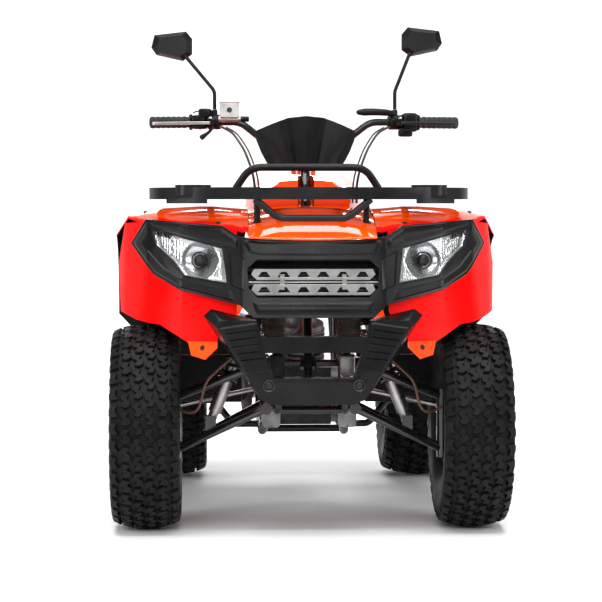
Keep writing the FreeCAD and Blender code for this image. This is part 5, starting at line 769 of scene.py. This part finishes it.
grilleBack = {"half": 0.19, "low": 0.655, "high": 0.79, "rib": 0.004, "ribs": 900, "front": 0.037, "back": 0.046}


def faceSheet(x, z, front, back):
    # a closed wall between two depths behind the mask's face
    return closedSheet(np.stack([x, faceY(x, z, 0) + front, z], -1), np.stack([x, faceY(x, z, back), z], -1))


def makeFacet(name, say, sign):
    # height = rise times the distance from the nearest edge, up to one, or a half sine where the strip is round
    one, two = alongLine(say["one"], facet["columns"]), alongLine(say["two"], facet["columns"])
    v, u = np.linspace(0, 1, facet["rows"])[:, None], np.linspace(0, 1, facet["columns"])[None, :]
    flat = (one[None] * (1 - v[..., None]) + two[None] * v[..., None]) * [sign, 1]
    across = np.sin(pi * v) ** facet["roundness"] if say["round"] else np.clip(fromEdge(v) / facet["edge"], 0, 1)
    height = say["rise"] * across * np.clip(fromEdge(u) / facet["end"], 0, 1)
    piece(name, [faceSheet(flat[..., 0], flat[..., 1], facet["front"] - height, facet["back"])], *blackPart, (), 24)


def makeFront():
    # lamps and facets on both sides, then the copies, and a ribbed sheet behind the grille
    for word, sign in sides.items():
        lampReflector(word, sign)
        lampLens(word, sign)
        for name in ("cheek", "brow", "column"):
            makeFacet(f"mask_{name}_{word}", facets[name], sign)
    for name in ("visor", "chin"):
        makeFacet(f"mask_{name}", facets[name], 1)
    cadCopy("front_mask", "front_mask_dressed", "mouldedBlack", 0.0035)
    cadCopy("grille", "grille_dressed", "grilleMetal", 0.0006)
    say = grilleBack
    x, z = np.meshgrid(np.linspace(-say["half"], say["half"], 39), np.linspace(say["low"], say["high"], 15))
    ribs = say["rib"] * (np.sin(z * say["ribs"]) > 0)
    piece("grille_back", [faceSheet(x, z, say["front"] + ribs, say["back"])], *blackPart, (), 20)


makeFront()
print("mask and lamps ready")

bumper = {"reach": 0.925, "half": 0.302, "low": 0.378, "tall": 0.266, "back": 0.004, "grooves": 6, "rows": 150,
          "columns": 14, "inner": [(0.385, 0.35), (0.46, 0.605), (0.517, 0.86)],
          "outer": [(0.62, 0.33), (0.876, 0.8)], "groove": 0.0036, "wave": (0.88, 0.06), "grooveV": (0.2, 0.93),
          "grooveU": (0.15, 0.9), "coreNear": 0.002, "fall": 0.003, "tip": 0.0035, "tipHigh": (0.965, 0.035),
          "tipLow": 0.03, "spare": 0.0004, "most": 0.0045, "skinBack": 0.0055, "wingFrom": (0.1, 0.405),
          "boltAt": (0.123, 0.433), "boltSet": 0.0062, "boltSize": (0.0085, 0.0056),
          "boltRing": [(0.006, 0.0170), (0.0008, 0.0165), (0.0003, 0.0152), (0.0018, 0.0128), (0.006, 0.0122)]}


def bumperLine(shares, count):
    # shares of the bumper's half width and height as a line of the front view
    shares = np.asarray(shares, float)
    x, z = shares[..., 0] * bumper["half"], bumper["low"] + shares[..., 1] * bumper["tall"]
    return alongLine(np.stack([x, z], -1), count)


def makeBumper():
    # the copy's front is set back a little, and skins come back out to the CAD front:
    # their depth = grooves where a wave is near its top + a fall to the edges + a fall to the two tips
    mesh = cadCopy("bumper", "bumper_core", "mouldedBlack", 0.003).data
    place = np.zeros(len(mesh.vertices) * 3)
    mesh.vertices.foreach_get("co", place)
    place = place.reshape(-1, 3)
    onWing = (np.abs(place[:, 0]) > bumper["wingFrom"][0]) & (place[:, 2] > bumper["wingFrom"][1])
    place[(place[:, 1] < -bumper["reach"] + bumper["coreNear"]) & onWing, 1] += bumper["back"]
    mesh.vertices.foreach_set("co", place.ravel())
    mesh.update()
    rows, columns = bumper["rows"], bumper["columns"]
    u, v = np.linspace(0, 1, columns)[None, :], np.linspace(0, 1, rows)[:, None]
    wave = np.abs(((v * (bumper["grooves"] + 1)) % 1) - 0.5) * 2
    (v0, v1), (u0, u1) = bumper["grooveV"], bumper["grooveU"]
    sharp = np.clip((wave - bumper["wave"][0]) / bumper["wave"][1], 0, 1)
    groove = bumper["groove"] * sharp * (v > v0) * (v < v1) * (u > u0) * (u < u1)
    fall = bumper["fall"] * (1 - np.clip(fromEdge(u) * columns, 0, 1))
    (high, over), low = bumper["tipHigh"], bumper["tipLow"]
    tip = bumper["tip"] * (np.clip((v - high) / over, 0, 1) + np.clip((low - v) / low, 0, 1))
    y = -bumper["reach"] + bumper["spare"] + np.clip(groove + fall + tip, 0, bumper["most"])
    inner, outer = bumperLine(bumper["inner"], rows)[:, None], bumperLine(bumper["outer"], rows)[:, None]
    flat = inner * (1 - u[..., None]) + outer * u[..., None]
    for word, sign in sides.items():
        front = np.stack([flat[..., 0] * sign, y, flat[..., 1]], -1)
        back = front.copy()
        back[..., 1] = -bumper["reach"] + bumper["skinBack"]
        piece(f"bumper_wing_{word}", [closedSheet(front, back)], *blackPart, (), 30)
        bx, bz = bumper["boltAt"]
        head = boltHead((sign * bx, -bumper["reach"] + bumper["boltSet"], bz), (0, -1, 0), *bumper["boltSize"])
        ring = turned(bumper["boltRing"], 28, (sign * bx, -bumper["reach"], bz), (0, 1, 0), True)
        piece(f"bumper_bolt_{word}", [head, ring], chassis, "steel", "blackBolt", (), 30)


makeBumper()
print("bumper ready")

bodywork = {"lipCut": 0.548, "panelStart": 0.0345, "panelNear": 0.014, "panelTurn": 0.2, "linerAndShadeTurn": 0.25,
            "edge": 0.0018, "tankEdge": 0.006, "frontWheel": (0.40, -0.60, 0.45), "rearWheel": (0.36, 0.56, 0.45)}


def onPanel(middle, normal):
    # faces of the flat front panel above its turned lip: these get the painted shade, the orange plastic in shade
    # coloured deep red
    far = np.abs(middle[:, 1] - faceY(middle[:, 0], middle[:, 2], bodywork["panelStart"]))
    return (far < bodywork["panelNear"]) & (middle[:, 2] > bodywork["lipCut"]) & (normal[:, 1] < bodywork["panelTurn"])


def makeLinerAndShade(guard, sign, wheel):
    # faces that look towards the wheel are painted black, partly a black liner and partly painted shade inside the
    # guard: normal times the way to the wheel, over its length
    def facesWheel(middle, normal):
        # the cosine between a face's normal and its way to the wheel
        way = np.array(wheel) * [sign, 1, 1] - middle
        return np.sum(normal * way, axis=1) / np.linalg.norm(way, axis=1) > bodywork["linerAndShadeTurn"]
    paint(guard, "mouldedBlack", facesWheel)


def makeBodywork():
    # copies of the panels; the front guards are cut at the lip, with painted shade in deep red above it and orange
    # below
    say = bodywork
    for word, sign in sides.items():
        cut = [((0, 0, say["lipCut"]), (0, 0, 1))]
        guard = cadCopy(f"front_fender_{word}", f"front_guard_{word}", "bodyOrange", say["edge"], 38, False, cut)
        # painted shade: the front panel's orange plastic in shade, coloured deep red
        paint(guard, "paintedShadeRed", onPanel)
        # inner faces painted black: partly liner, partly painted shade
        makeLinerAndShade(guard, sign, say["frontWheel"])
        guard = cadCopy(f"rear_fender_{word}", f"rear_guard_{word}", "bodyOrange", say["edge"], 38, False)
        # inside the rear guard too, faces painted black: partly liner, partly painted shade
        makeLinerAndShade(guard, sign, say["rearWheel"])
    cadCopy("hood", "hood_dressed", "bodyOrange", say["edge"], 38, False)
    cadCopy("tank_cover", "tank_dressed", "bodyOrange", say["tankEdge"])


makeBodywork()
print("bodywork ready")

plainParts = {  # nodes, or pairs of them, that keep their CAD form, with the width of their rounded edges
    "frame": 0.0008, "exhaust": 0.0010, "front_arms": 0.0008, "swingarm": 0.0012, "chain": 0.0004,
    "front_rack": 0.0035, "rear_rack": 0.0035, "footwell": 0.0020, "footpegs": 0.0010, "tail_lamps": 0.0040,
    "hitch_bracket": 0.0012, "steering_stem": 0.0010, "handlebar": 0.0006, "grips": 0.0006, "mirrors": 0.0035,
    "mirror_glass": 0.0004, "handlebar_pod": 0.0050, "knuckle": 0.0012, "tie_rod": 0.0006, "rim_front": 0.0010,
    "rim_rear": 0.0010, "brake_disc_front": 0.0004, "axle_shaft": 0.0008, "rear_sprocket": 0.0005,
    "rear_brake_disc": 0.0004,
}
shockLine = {"front": ((0.282, -0.6, 0.306), (0.168, -0.6, 0.596)),
             "rear": ((0.0, 0.470, 0.352), (0.0, 0.300, 0.590))}
hardParts = {"coil": 0.0235, "shockEdge": 0.0006, "engineEdge": 0.0015, "leverEdge": 0.0016, "caseTop": 0.4233,
             "caseHalf": 0.088}


def fromAxis(points, start, end):
    # distance of points from the line through start and end
    start, run = np.asarray(start, float), np.asarray(end, float) - np.asarray(start, float)
    run /= np.linalg.norm(run)
    off = points - start
    return np.linalg.norm(off - (off @ run)[:, None] * run, axis=1)


def makeHardParts():
    # plain copies, then those in two finishes: coils round steel rods, a dark crankcase, one steel lever
    for first, width in plainParts.items():
        for node in [first] if first in frame["nodes"] else [f"{first}_{word}" for word in sides]:
            cadCopy(node, node + "_dressed", None, width)
    for which, node in (("front", "front_shocks"), ("rear", "rear_shock")):
        def onCoil(middle, normal):
            # further from the unit's own line than its rod
            return fromAxis(np.abs(middle) * [1, 0, 1] + middle * [0, 1, 0], *shockLine[which]) > hardParts["coil"]
        paint(cadCopy(node, node + "_dressed", "steel", hardParts["shockEdge"]), "framePaint", onCoil)

    def onCase(middle, normal):
        # below the cylinder's foot and between the covers
        return (middle[:, 2] < hardParts["caseTop"]) & (np.abs(middle[:, 0]) < hardParts["caseHalf"])
    paint(cadCopy("engine", "engine_dressed", "castMetal", hardParts["engineEdge"]), "darkCast", onCase)
    levers = cadCopy("levers", "levers_dressed", "framePaint", hardParts["leverEdge"])
    paint(levers, "steel", lambda middle, normal: middle[:, 0] < 0)


makeHardParts()
print("hard parts ready")

control = {  # metres from the bar's end, places, half sizes of the soft-edged boxes, and (along, radius) profiles
    "knee": (0.194, -0.335, 1.172), "end": (0.462, -0.267, 1.172), "box": 0.1535, "perch": 0.1985, "swing": 0.2484,
    "boxHalf": {"left": (0.025, 0.0205, 0.029), "right": (0.024, 0.0205, 0.0215)}, "split": (0.0012, 0.0215, 0.001),
    "clamp": [(-0.019, 0.0112), (-0.019, 0.020), (-0.017, 0.0225), (-0.002, 0.0225), (-0.001, 0.021),
              (0.001, 0.021), (0.002, 0.0225), (0.017, 0.0225), (0.019, 0.020), (0.019, 0.0112)],
    "armReach": 0.0496, "arm": [(0.012, 0.012), (0.030, 0.010), (0.0456, 0.0105), (0.0536, 0.0085)],
    "boss": [(-0.004, 0.0088), (0.010, 0.0088), (0.0142, 0.0078), (0.015, 0.006)], "bossRise": 0.0225,
    "pinRise": 0.0095, "pin": (0.0045, 0.004), "screwReach": 0.0215, "screwRise": 0.012, "screw": (0.0035, 0.003),
    "throttle": ((-0.298, -0.326, 1.199), (0.019, 0.012, 0.013), 5, 12, 24),
    "stub": [(-0.312, -0.326, 1.203), (-0.322, -0.329, 1.203), (-0.334, -0.331, 1.199)], "stubRadius": 0.002,
    "knob": [(-0.012, 0.0085), (0.010, 0.0085), (0.013, 0.0068)], "knobAt": (-0.180, -0.3388, 1.180),
    "thumb": [(-0.275, -0.338, 1.158), (-0.283, -0.347, 1.143), (-0.299, -0.352, 1.131), (-0.312, -0.350, 1.122)],
    "thumbWide": ([0, 0.5, 0.8, 0.93, 1], [0.005, 0.0048, 0.0075, 0.0085, 0.005]),
    "switches": [((0.300, -0.330, 1.139), (0.021, 0.013, 0.011), 5, 12, 24),
                 ((0.322, -0.292, 1.190), (0.008, 0.004, 0.006), 4, 10, 16)],
    "park": [(0.268, -0.334, 1.196), (0.245, -0.340, 1.200), (0.205, -0.346, 1.202), (0.170, -0.349, 1.201),
             (0.152, -0.350, 1.200)],
    "parkWide": ([0, 0.05, 0.3, 0.8, 0.96, 1], [0.006, 0.009, 0.0105, 0.0115, 0.008, 0.003]),
}
reservoir = {"x": (-0.2546, -0.1966), "y": (-0.3618, -0.3158), "z": (1.1835, 1.2275), "corner": 0.004,
             "lid": (0.0015, 0.001, 0.0005, 0.0045),
             "cylinder": [(-0.033, 0.006), (-0.032, 0.0100), (0.031, 0.0100), (0.033, 0.008)], "cylinderZ": 1.180,
             "sight": (-0.2256, 1.206), "glass": [(-0.003, 0.0080), (0.0004, 0.0080), (0.0012, 0.0062)],
             "ring": [(-0.002, 0.0080), (0.0012, 0.0082), (0.0012, 0.0098), (-0.002, 0.0102)], "screwIn": 0.006,
             "screw": (0.0028, 0.002)}


def barPlace(sign, fromEnd):
    # the point on the bar's outer straight run at this distance from its end, and the way out
    knee, end = np.array(control["knee"]) * [sign, 1, 1], np.array(control["end"]) * [sign, 1, 1]
    out = (end - knee) / np.linalg.norm(end - knee)
    return end - out * fromEnd, out


def taperedTube(line, count, widths, around):
    # a smoothed line with a radius that follows a table of shares
    return tubeAlong(smoothLine(line, count), np.interp(np.linspace(0, 1, count), *widths), around)


def makeControls():
    # a switch box, a split clamp, an arm and a boss on each side, with what that side's hand works
    arm = np.array(control["arm"])
    for word, sign in sides.items():
        swing, half = sign * control["swing"], control["boxHalf"][word]
        middle, out = barPlace(sign, control["box"])
        at, out = barPlace(sign, control["perch"])
        forward = np.array([out[1], -out[0], 0]) * sign
        thin, deep, proud = control["split"]
        parts = [roundedBlock(middle, half, 5, 18, 32, 0, swing),
                 roundedBlock(middle, (thin, deep, half[2] + proud), 4, 12, 24, 0, swing),
                 turned(control["clamp"], 36, at, out, True),
                 tubeAlong(at + forward * arm[:, :1], arm[:, 1], 16),
                 turned(control["boss"], 20, at + [0, 0, control["bossRise"]], (0, 0, 1))]
        if sign < 0:
            parts += [roundedBlock(*control["throttle"], 0, swing),
                      tubeAlong(control["stub"], control["stubRadius"], 8),
                      turned(control["knob"], 24, control["knobAt"], (1, 0, 0)),
                      taperedTube(control["thumb"], 16, control["thumbWide"], 14)]
        else:
            parts += [roundedBlock(*box, 0, swing) for box in control["switches"]]
            parts.append(taperedTube(control["park"], 24, control["parkWide"], 16))
        piece(f"controls_{word}", parts, bars, "black_plastic", "mouldedBlack", ("controls",) if sign > 0 else (), 35)
        pins = [boltHead(at + forward * control["armReach"] + [0, 0, control["pinRise"]], (0, 0, 1), *control["pin"])]
        for rise in (-control["screwRise"], control["screwRise"]):
            pins.append(boltHead(at - forward * control["screwReach"] + [0, 0, rise], -forward, *control["screw"]))
        piece(f"control_pins_{word}", pins, bars, "steel", "zincBolt", (), 30)


def makeReservoir():
    # a box with two cut corners, a lid and a cylinder under it, and a round window in a ring
    (x0, x1), (y0, y1), (z0, z1), c = reservoir["x"], reservoir["y"], reservoir["z"], reservoir["corner"]
    outline = [(x0 + c, z0), (x1 - c, z0), (x1, z0 + c), (x1, z1), (x0, z1), (x0, z0 + c)]
    wide, ahead, sunk, tall = reservoir["lid"]
    lid = [(x0 - wide, y0 - ahead), (x1 + wide, y0 - ahead), (x1 + wide, y1), (x0 - wide, y1)]
    middle = (y0 + y1) / 2
    body = [prismAlong(outline, y0, y1, (0, 2, 1)), prismAlong(lid, z1 - sunk, z1 + tall, (0, 1, 2)),
            turned(reservoir["cylinder"], 28, ((x0 + x1) / 2, middle, reservoir["cylinderZ"]), (1, 0, 0))]
    piece("brake_reservoir", body, bars, "steel", "steel", (), 30, 0.0022)
    at = (reservoir["sight"][0], y0, reservoir["sight"][1])
    piece("reservoir_sight", [turned(reservoir["glass"], 24, at, (0, -1, 0))], bars, "steel", "blackBolt", (), 40)
    places = [(x, middle, z1 + tall) for x in (x0 + reservoir["screwIn"], x1 - reservoir["screwIn"])]
    screws = [boltHead(place, (0, 0, 1), *reservoir["screw"]) for place in places]
    piece("reservoir_ring", [turned(reservoir["ring"], 28, at, (0, -1, 0), True)] + screws, bars, "steel", "zincBolt",
          (), 40)


makeControls()
makeReservoir()
print("controls ready")

cables = {  # each with its side, radius, finish and place beside the route
    "brake_left": {"side": 1, "radius": 0.0038, "finish": "cableSkin", "shift": (0, 0, 0)},
    "throttle_left": {"side": 1, "radius": 0.0026, "finish": "cableSkin", "shift": (-0.011, 0.006, 0.0)},
    "brake_right": {"side": -1, "radius": 0.0038, "finish": "cableSkin", "shift": (0, 0, 0)},
    "throttle_right": {"side": -1, "radius": 0.0028, "finish": "hoseBrown", "shift": (0.012, 0.006, 0.0)},
}
cableRoute = [(0.2476, -0.3359, 1.156), (0.216, -0.3489, 1.140), (0.182, -0.3839, 1.088), (0.158, -0.3919, 1.024),
              (0.150, -0.3839, 0.976), (0.151, -0.3839, 0.930)]  # from the perch down beside the tank cover


def makeCables():
    # tubes along the smoothed route, fixed in place, on neither the chassis nor the bars
    for name, say in cables.items():
        path = smoothLine(cableRoute, 60) * [say["side"], 1, 1] + np.array(say["shift"])
        instead = ("control_cables",) if name.startswith("brake") else ()
        thing = piece(f"cable_{name}", [tubeAlong(path, say["radius"], 10)], None, "cable_rubber", say["finish"],
                      instead, 60)
        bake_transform(thing)


makeCables()
print("cables ready")

seat = {"half": 0.136, "front": -0.034, "back": 0.482, "base": 0.7550, "top": 0.890, "inset": 0.009,
        "quickInset": 0.001, "rows": 60, "around": 72, "power": 4.5, "endPower": 9, "flat": 0.55, "drawLeast": 0.35,
        "drawPower": 1 / 3, "widthShares": ([0, 0.2, 0.5, 1], [0.80, 0.88, 1, 0.98]),
        "dipShares": ([0, 0.12, 0.4, 0.7, 1], [0.04, 0.10, 0.19, 0.12, 0.0]),
        "voxel": 0.006, "pressure": 4, "quality": 5, "steps": 20, "cap": 0.0085,
        "seam": 0.0022, "seamZ": 0.845, "seamDip": 0.012, "seamIn": 0.35, "seamSteps": 161}


def seatForm(inset):
    # rounded sections from nose to tail: x and z follow soft cosines and sines, width and top change along
    rows, around = seat["rows"], seat["around"]
    v, turn = np.linspace(0, 1, rows), fullTurn(around)
    half = seat["half"] * np.interp(v, *seat["widthShares"]) - inset
    top = seat["top"] - (seat["top"] - seat["base"]) * np.interp(v, *seat["dipShares"]) - inset
    draw = np.clip((1 - np.abs(2 * v - 1) ** seat["endPower"]) ** seat["drawPower"], seat["drawLeast"], 1)[:, None]
    middle, rise = ((top + seat["base"] + inset) / 2)[:, None], ((top - seat["base"] - inset) / 2)[:, None]
    x = half[:, None] * draw * softened(np.cos(turn), seat["power"])[None]
    z = middle + rise * (seat["flat"] + (1 - seat["flat"]) * draw) * softened(np.sin(turn), seat["power"])[None]
    y = (seat["front"] + inset + v * (seat["back"] - seat["front"] - 2 * inset))[:, None] + 0 * x
    points = np.stack([x, y, z], -1).reshape(-1, 3)
    return points, outward(points, gridFaces(rows, around, False, True) + discs(rows, around))


def swell(thing):
    # voxel remesh, cloth under pressure without gravity, and a cap on how far a point may go
    remesh = thing.modifiers.new("voxels", "REMESH")
    remesh.mode, remesh.voxel_size = "VOXEL", seat["voxel"]
    bpy.context.view_layer.objects.active = thing
    bpy.ops.object.modifier_apply(modifier="voxels")
    count = len(thing.data.vertices) * 3
    rest, now = np.zeros(count), np.zeros(count)
    thing.data.vertices.foreach_get("co", rest)
    cloth = thing.modifiers.new("cloth", "CLOTH")
    cloth.settings.use_pressure, cloth.settings.uniform_pressure_force = True, seat["pressure"]
    cloth.settings.effector_weights.gravity = 0
    cloth.settings.quality = seat["quality"]
    for step in range(1, seat["steps"] + 1):
        bpy.context.scene.frame_set(step)
    bpy.ops.object.modifier_apply(modifier="cloth")
    bpy.context.scene.frame_set(1)
    thing.data.vertices.foreach_get("co", now)
    rest, now = rest.reshape(-1, 3), now.reshape(-1, 3)
    move = now - rest
    far = np.linalg.norm(move, axis=1)[:, None]
    now = rest + move * np.minimum(1, seat["cap"] / np.maximum(far, 1e-9))
    now[:, 2] = np.maximum(now[:, 2], seat["base"])
    thing.data.vertices.foreach_set("co", now.ravel())
    thing.data.update()


def makeSeat():
    # the swelled cushion, and piping where rays aimed at its middle line meet it, at a level that waves
    form = seatForm(seat["inset"])
    thing = addObject("seat_cushion", meshFrom("seat_cushion", *form))
    swell(thing)
    dress(thing, bodyOf["seat"], "seatLeather", ("seat",), 180, 0, 1)
    tree = BVHTree.FromPolygons([v.co for v in thing.data.vertices], [p.vertices for p in thing.data.polygons])
    middle = np.array([0, (seat["front"] + seat["back"]) / 2, 0.0])
    path = []
    for turn in np.linspace(0, 2 * pi, seat["seamSteps"]):
        level = seat["seamZ"] + seat["seamDip"] * np.sin(turn) ** 2 * np.sign(np.sin(turn))
        aim = np.array([np.cos(turn) * seat["half"], np.sin(turn) * (seat["back"] - seat["front"]) / 2, 0])
        hit = tree.ray_cast(Vector(middle + aim * 2 + [0, 0, level]), Vector(-aim).normalized())[0]
        if hit:
            path.append(np.array(hit) - aim / np.linalg.norm(aim) * seat["seam"] * seat["seamIn"])
    seam = tubeAlong(smoothLine(np.array(path), 200), seat["seam"], 8)
    piece("seat_piping", [seam], bodyOf["seat"], "seat_cover", "seatStitch", (), 60)


makeSeat()
print("seat ready")

under = {  # fittings seen through the bumper and below it, hung on the lower rails and the front uprights
    "cooler": {"centre": (0.107, -0.789, 0.590), "half": (0.034, 0.015, 0.031), "fins": 9, "finHalf": 0.0012,
               "finSpread": 0.9, "core": (0.86, 0.7, 1)},
    "relay": {"centre": (0.098, -0.794, 0.478), "half": (0.022, 0.012, 0.032)},
    "bracket": {"x": (0.083, 0.135), "z": (0.288, 0.340), "wall": 0.007, "y": (-0.622, -0.578), "pin": (0.003, 0.002),
                "edge": 0.0012},
    "hose": [(0.106, -0.655, 0.600), (0.150, -0.664, 0.560), (0.235, -0.668, 0.480), (0.300, -0.668, 0.425),
             (0.309, -0.667, 0.365), (0.318, -0.664, 0.332), (0.352, -0.655, 0.330), (0.374, -0.640, 0.345)],
    "hoseRadius": 0.0042,
}
wheelNuts = {"circle": 0.046, "count": 4, "size": (0.0085, 0.011), "from": 0.25}
down, back = (0, 0, -1), (0, 1, 0)
panelScrews = {"size": (0.006, 0.003), "spots": [  # a node's first word, a point off it and the way to it
    ("front_fender", (0.303, -1.2, 0.531), back), ("front_fender", (0.260, -0.76, 1.3), down),
    ("front_fender", (0.470, -0.52, 1.3), down), ("rear_fender", (0.180, 0.45, 1.3), down),
    ("rear_fender", (0.180, 0.72, 1.3), down), ("footwell", (0.235, -0.10, 0.6), down),
    ("footwell", (0.235, 0.16, 0.6), down), ("footwell", (0.470, -0.10, 0.6), down),
    ("footwell", (0.470, 0.16, 0.6), down)]}
engineScrews = {"count": 8, "x": 0.1155, "y": -0.045, "z": 0.3343, "circle": 0.076, "size": (0.0045, 0.004)}


def surfaceTree(node):
    # the node's surface, ready for rays
    mesh = frame["nodes"][node].data
    return BVHTree.FromPolygons([v.co for v in mesh.vertices], [p.vertices for p in mesh.polygons])


def onCircle(x, y, z, radius, count):
    # places round a level axis, evenly and half a step on: cosine ahead, sine up
    turn = (np.arange(count) + 0.5) * 2 * pi / count
    return [(x, y + radius * np.cos(t), z + radius * np.sin(t)) for t in turn]


def screwsOn(tree, spots, way, size):
    # a head at each place where a ray from a spot meets the surface, standing against the ray
    hits = [tree.ray_cast(Vector(spot), Vector(way))[0] for spot in spots]
    return [boltHead(hit, [-v for v in way], *size) for hit in hits if hit]


def makeUnderParts(word, sign):
    # finned block, relay box, bracket with cut corners, and a hose along a bent path from the chassis to the knuckle,
    # fixed in place on no body
    say = under["cooler"]
    (cx, cy, cz), (hx, hy, hz) = say["centre"], say["half"]
    fins = [roundedBlock((sign * cx, cy, cz), np.array(say["half"]) * say["core"], 6, 12, 24)]
    for z in np.linspace(cz - hz * say["finSpread"], cz + hz * say["finSpread"], say["fins"]):
        fins.append(roundedBlock((sign * cx, cy, z), (hx, hy, say["finHalf"]), 8, 8, 24))
    piece(f"cooler_{word}", fins, chassis, "engine_metal", "finBrown", (), 30)
    box = roundedBlock(np.array(under["relay"]["centre"]) * [sign, 1, 1], under["relay"]["half"], 6)
    piece(f"relay_{word}", [box], chassis, "steel", "steel" if sign > 0 else "darkCast", (), 30)
    say = under["bracket"]
    (x0, x1), (z0, z1), (y0, y1), w = say["x"], say["z"], say["y"], say["wall"]
    outline = np.array([(x0, z1), (x0, z0 + w), (x0 + w, z0), (x1 - w, z0), (x1, z0 + w), (x1, z1)]) * [sign, 1]
    pin = boltHead((sign * (x0 + x1) / 2, y0 + say["pin"][1], z0 + w / 2), (0, -1, 0), *say["pin"])
    piece(f"arm_bracket_{word}", [prismAlong(outline, y0, y1, (0, 2, 1)), pin], chassis, "frame_metal", "castMetal",
          (), 30, say["edge"])
    path = smoothLine(under["hose"], 60) * [sign, 1, 1]
    hose = piece(f"brake_hose_{word}", [tubeAlong(path, under["hoseRadius"], 10)], None, "cable_rubber", "hoseBrown",
                 (), 60)
    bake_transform(hose)


def makeFittings():
    # both sides' fittings, a circle of nuts on each wheel, screws on the panels and on the engine's covers
    for word, sign in sides.items():
        makeUnderParts(word, sign)
        for which, size in tyres.items():
            node = f"rim_{which}_{word}"
            x = sign * (size["x"] + wheelNuts["from"])
            spots = onCircle(x, size["y"], size["z"], wheelNuts["circle"], wheelNuts["count"])
            nuts = screwsOn(surfaceTree(node), spots, (-sign, 0, 0), wheelNuts["size"])
            piece(f"wheel_nuts_{which}_{word}", nuts, bodyOf[node], "steel", "zincBolt", (), 30)
        screws = []
        for first, spot, way in panelScrews["spots"]:
            spots = [np.array(spot) * [sign, 1, 1]]
            screws += screwsOn(surfaceTree(f"{first}_{word}"), spots, way, panelScrews["size"])
        piece(f"panel_screws_{word}", screws, chassis, "steel", "blackBolt", (), 30)
    say, heads = engineScrews, []
    for sign in sides.values():
        places = onCircle(sign * say["x"], say["y"], say["z"], say["circle"], say["count"])
        heads += [boltHead(at, (sign, 0, 0), *say["size"]) for at in places]
    piece("engine_screws", heads, chassis, "steel", "zincBolt", (), 30)


makeFittings()
print("fittings ready")

print("all pieces ready")
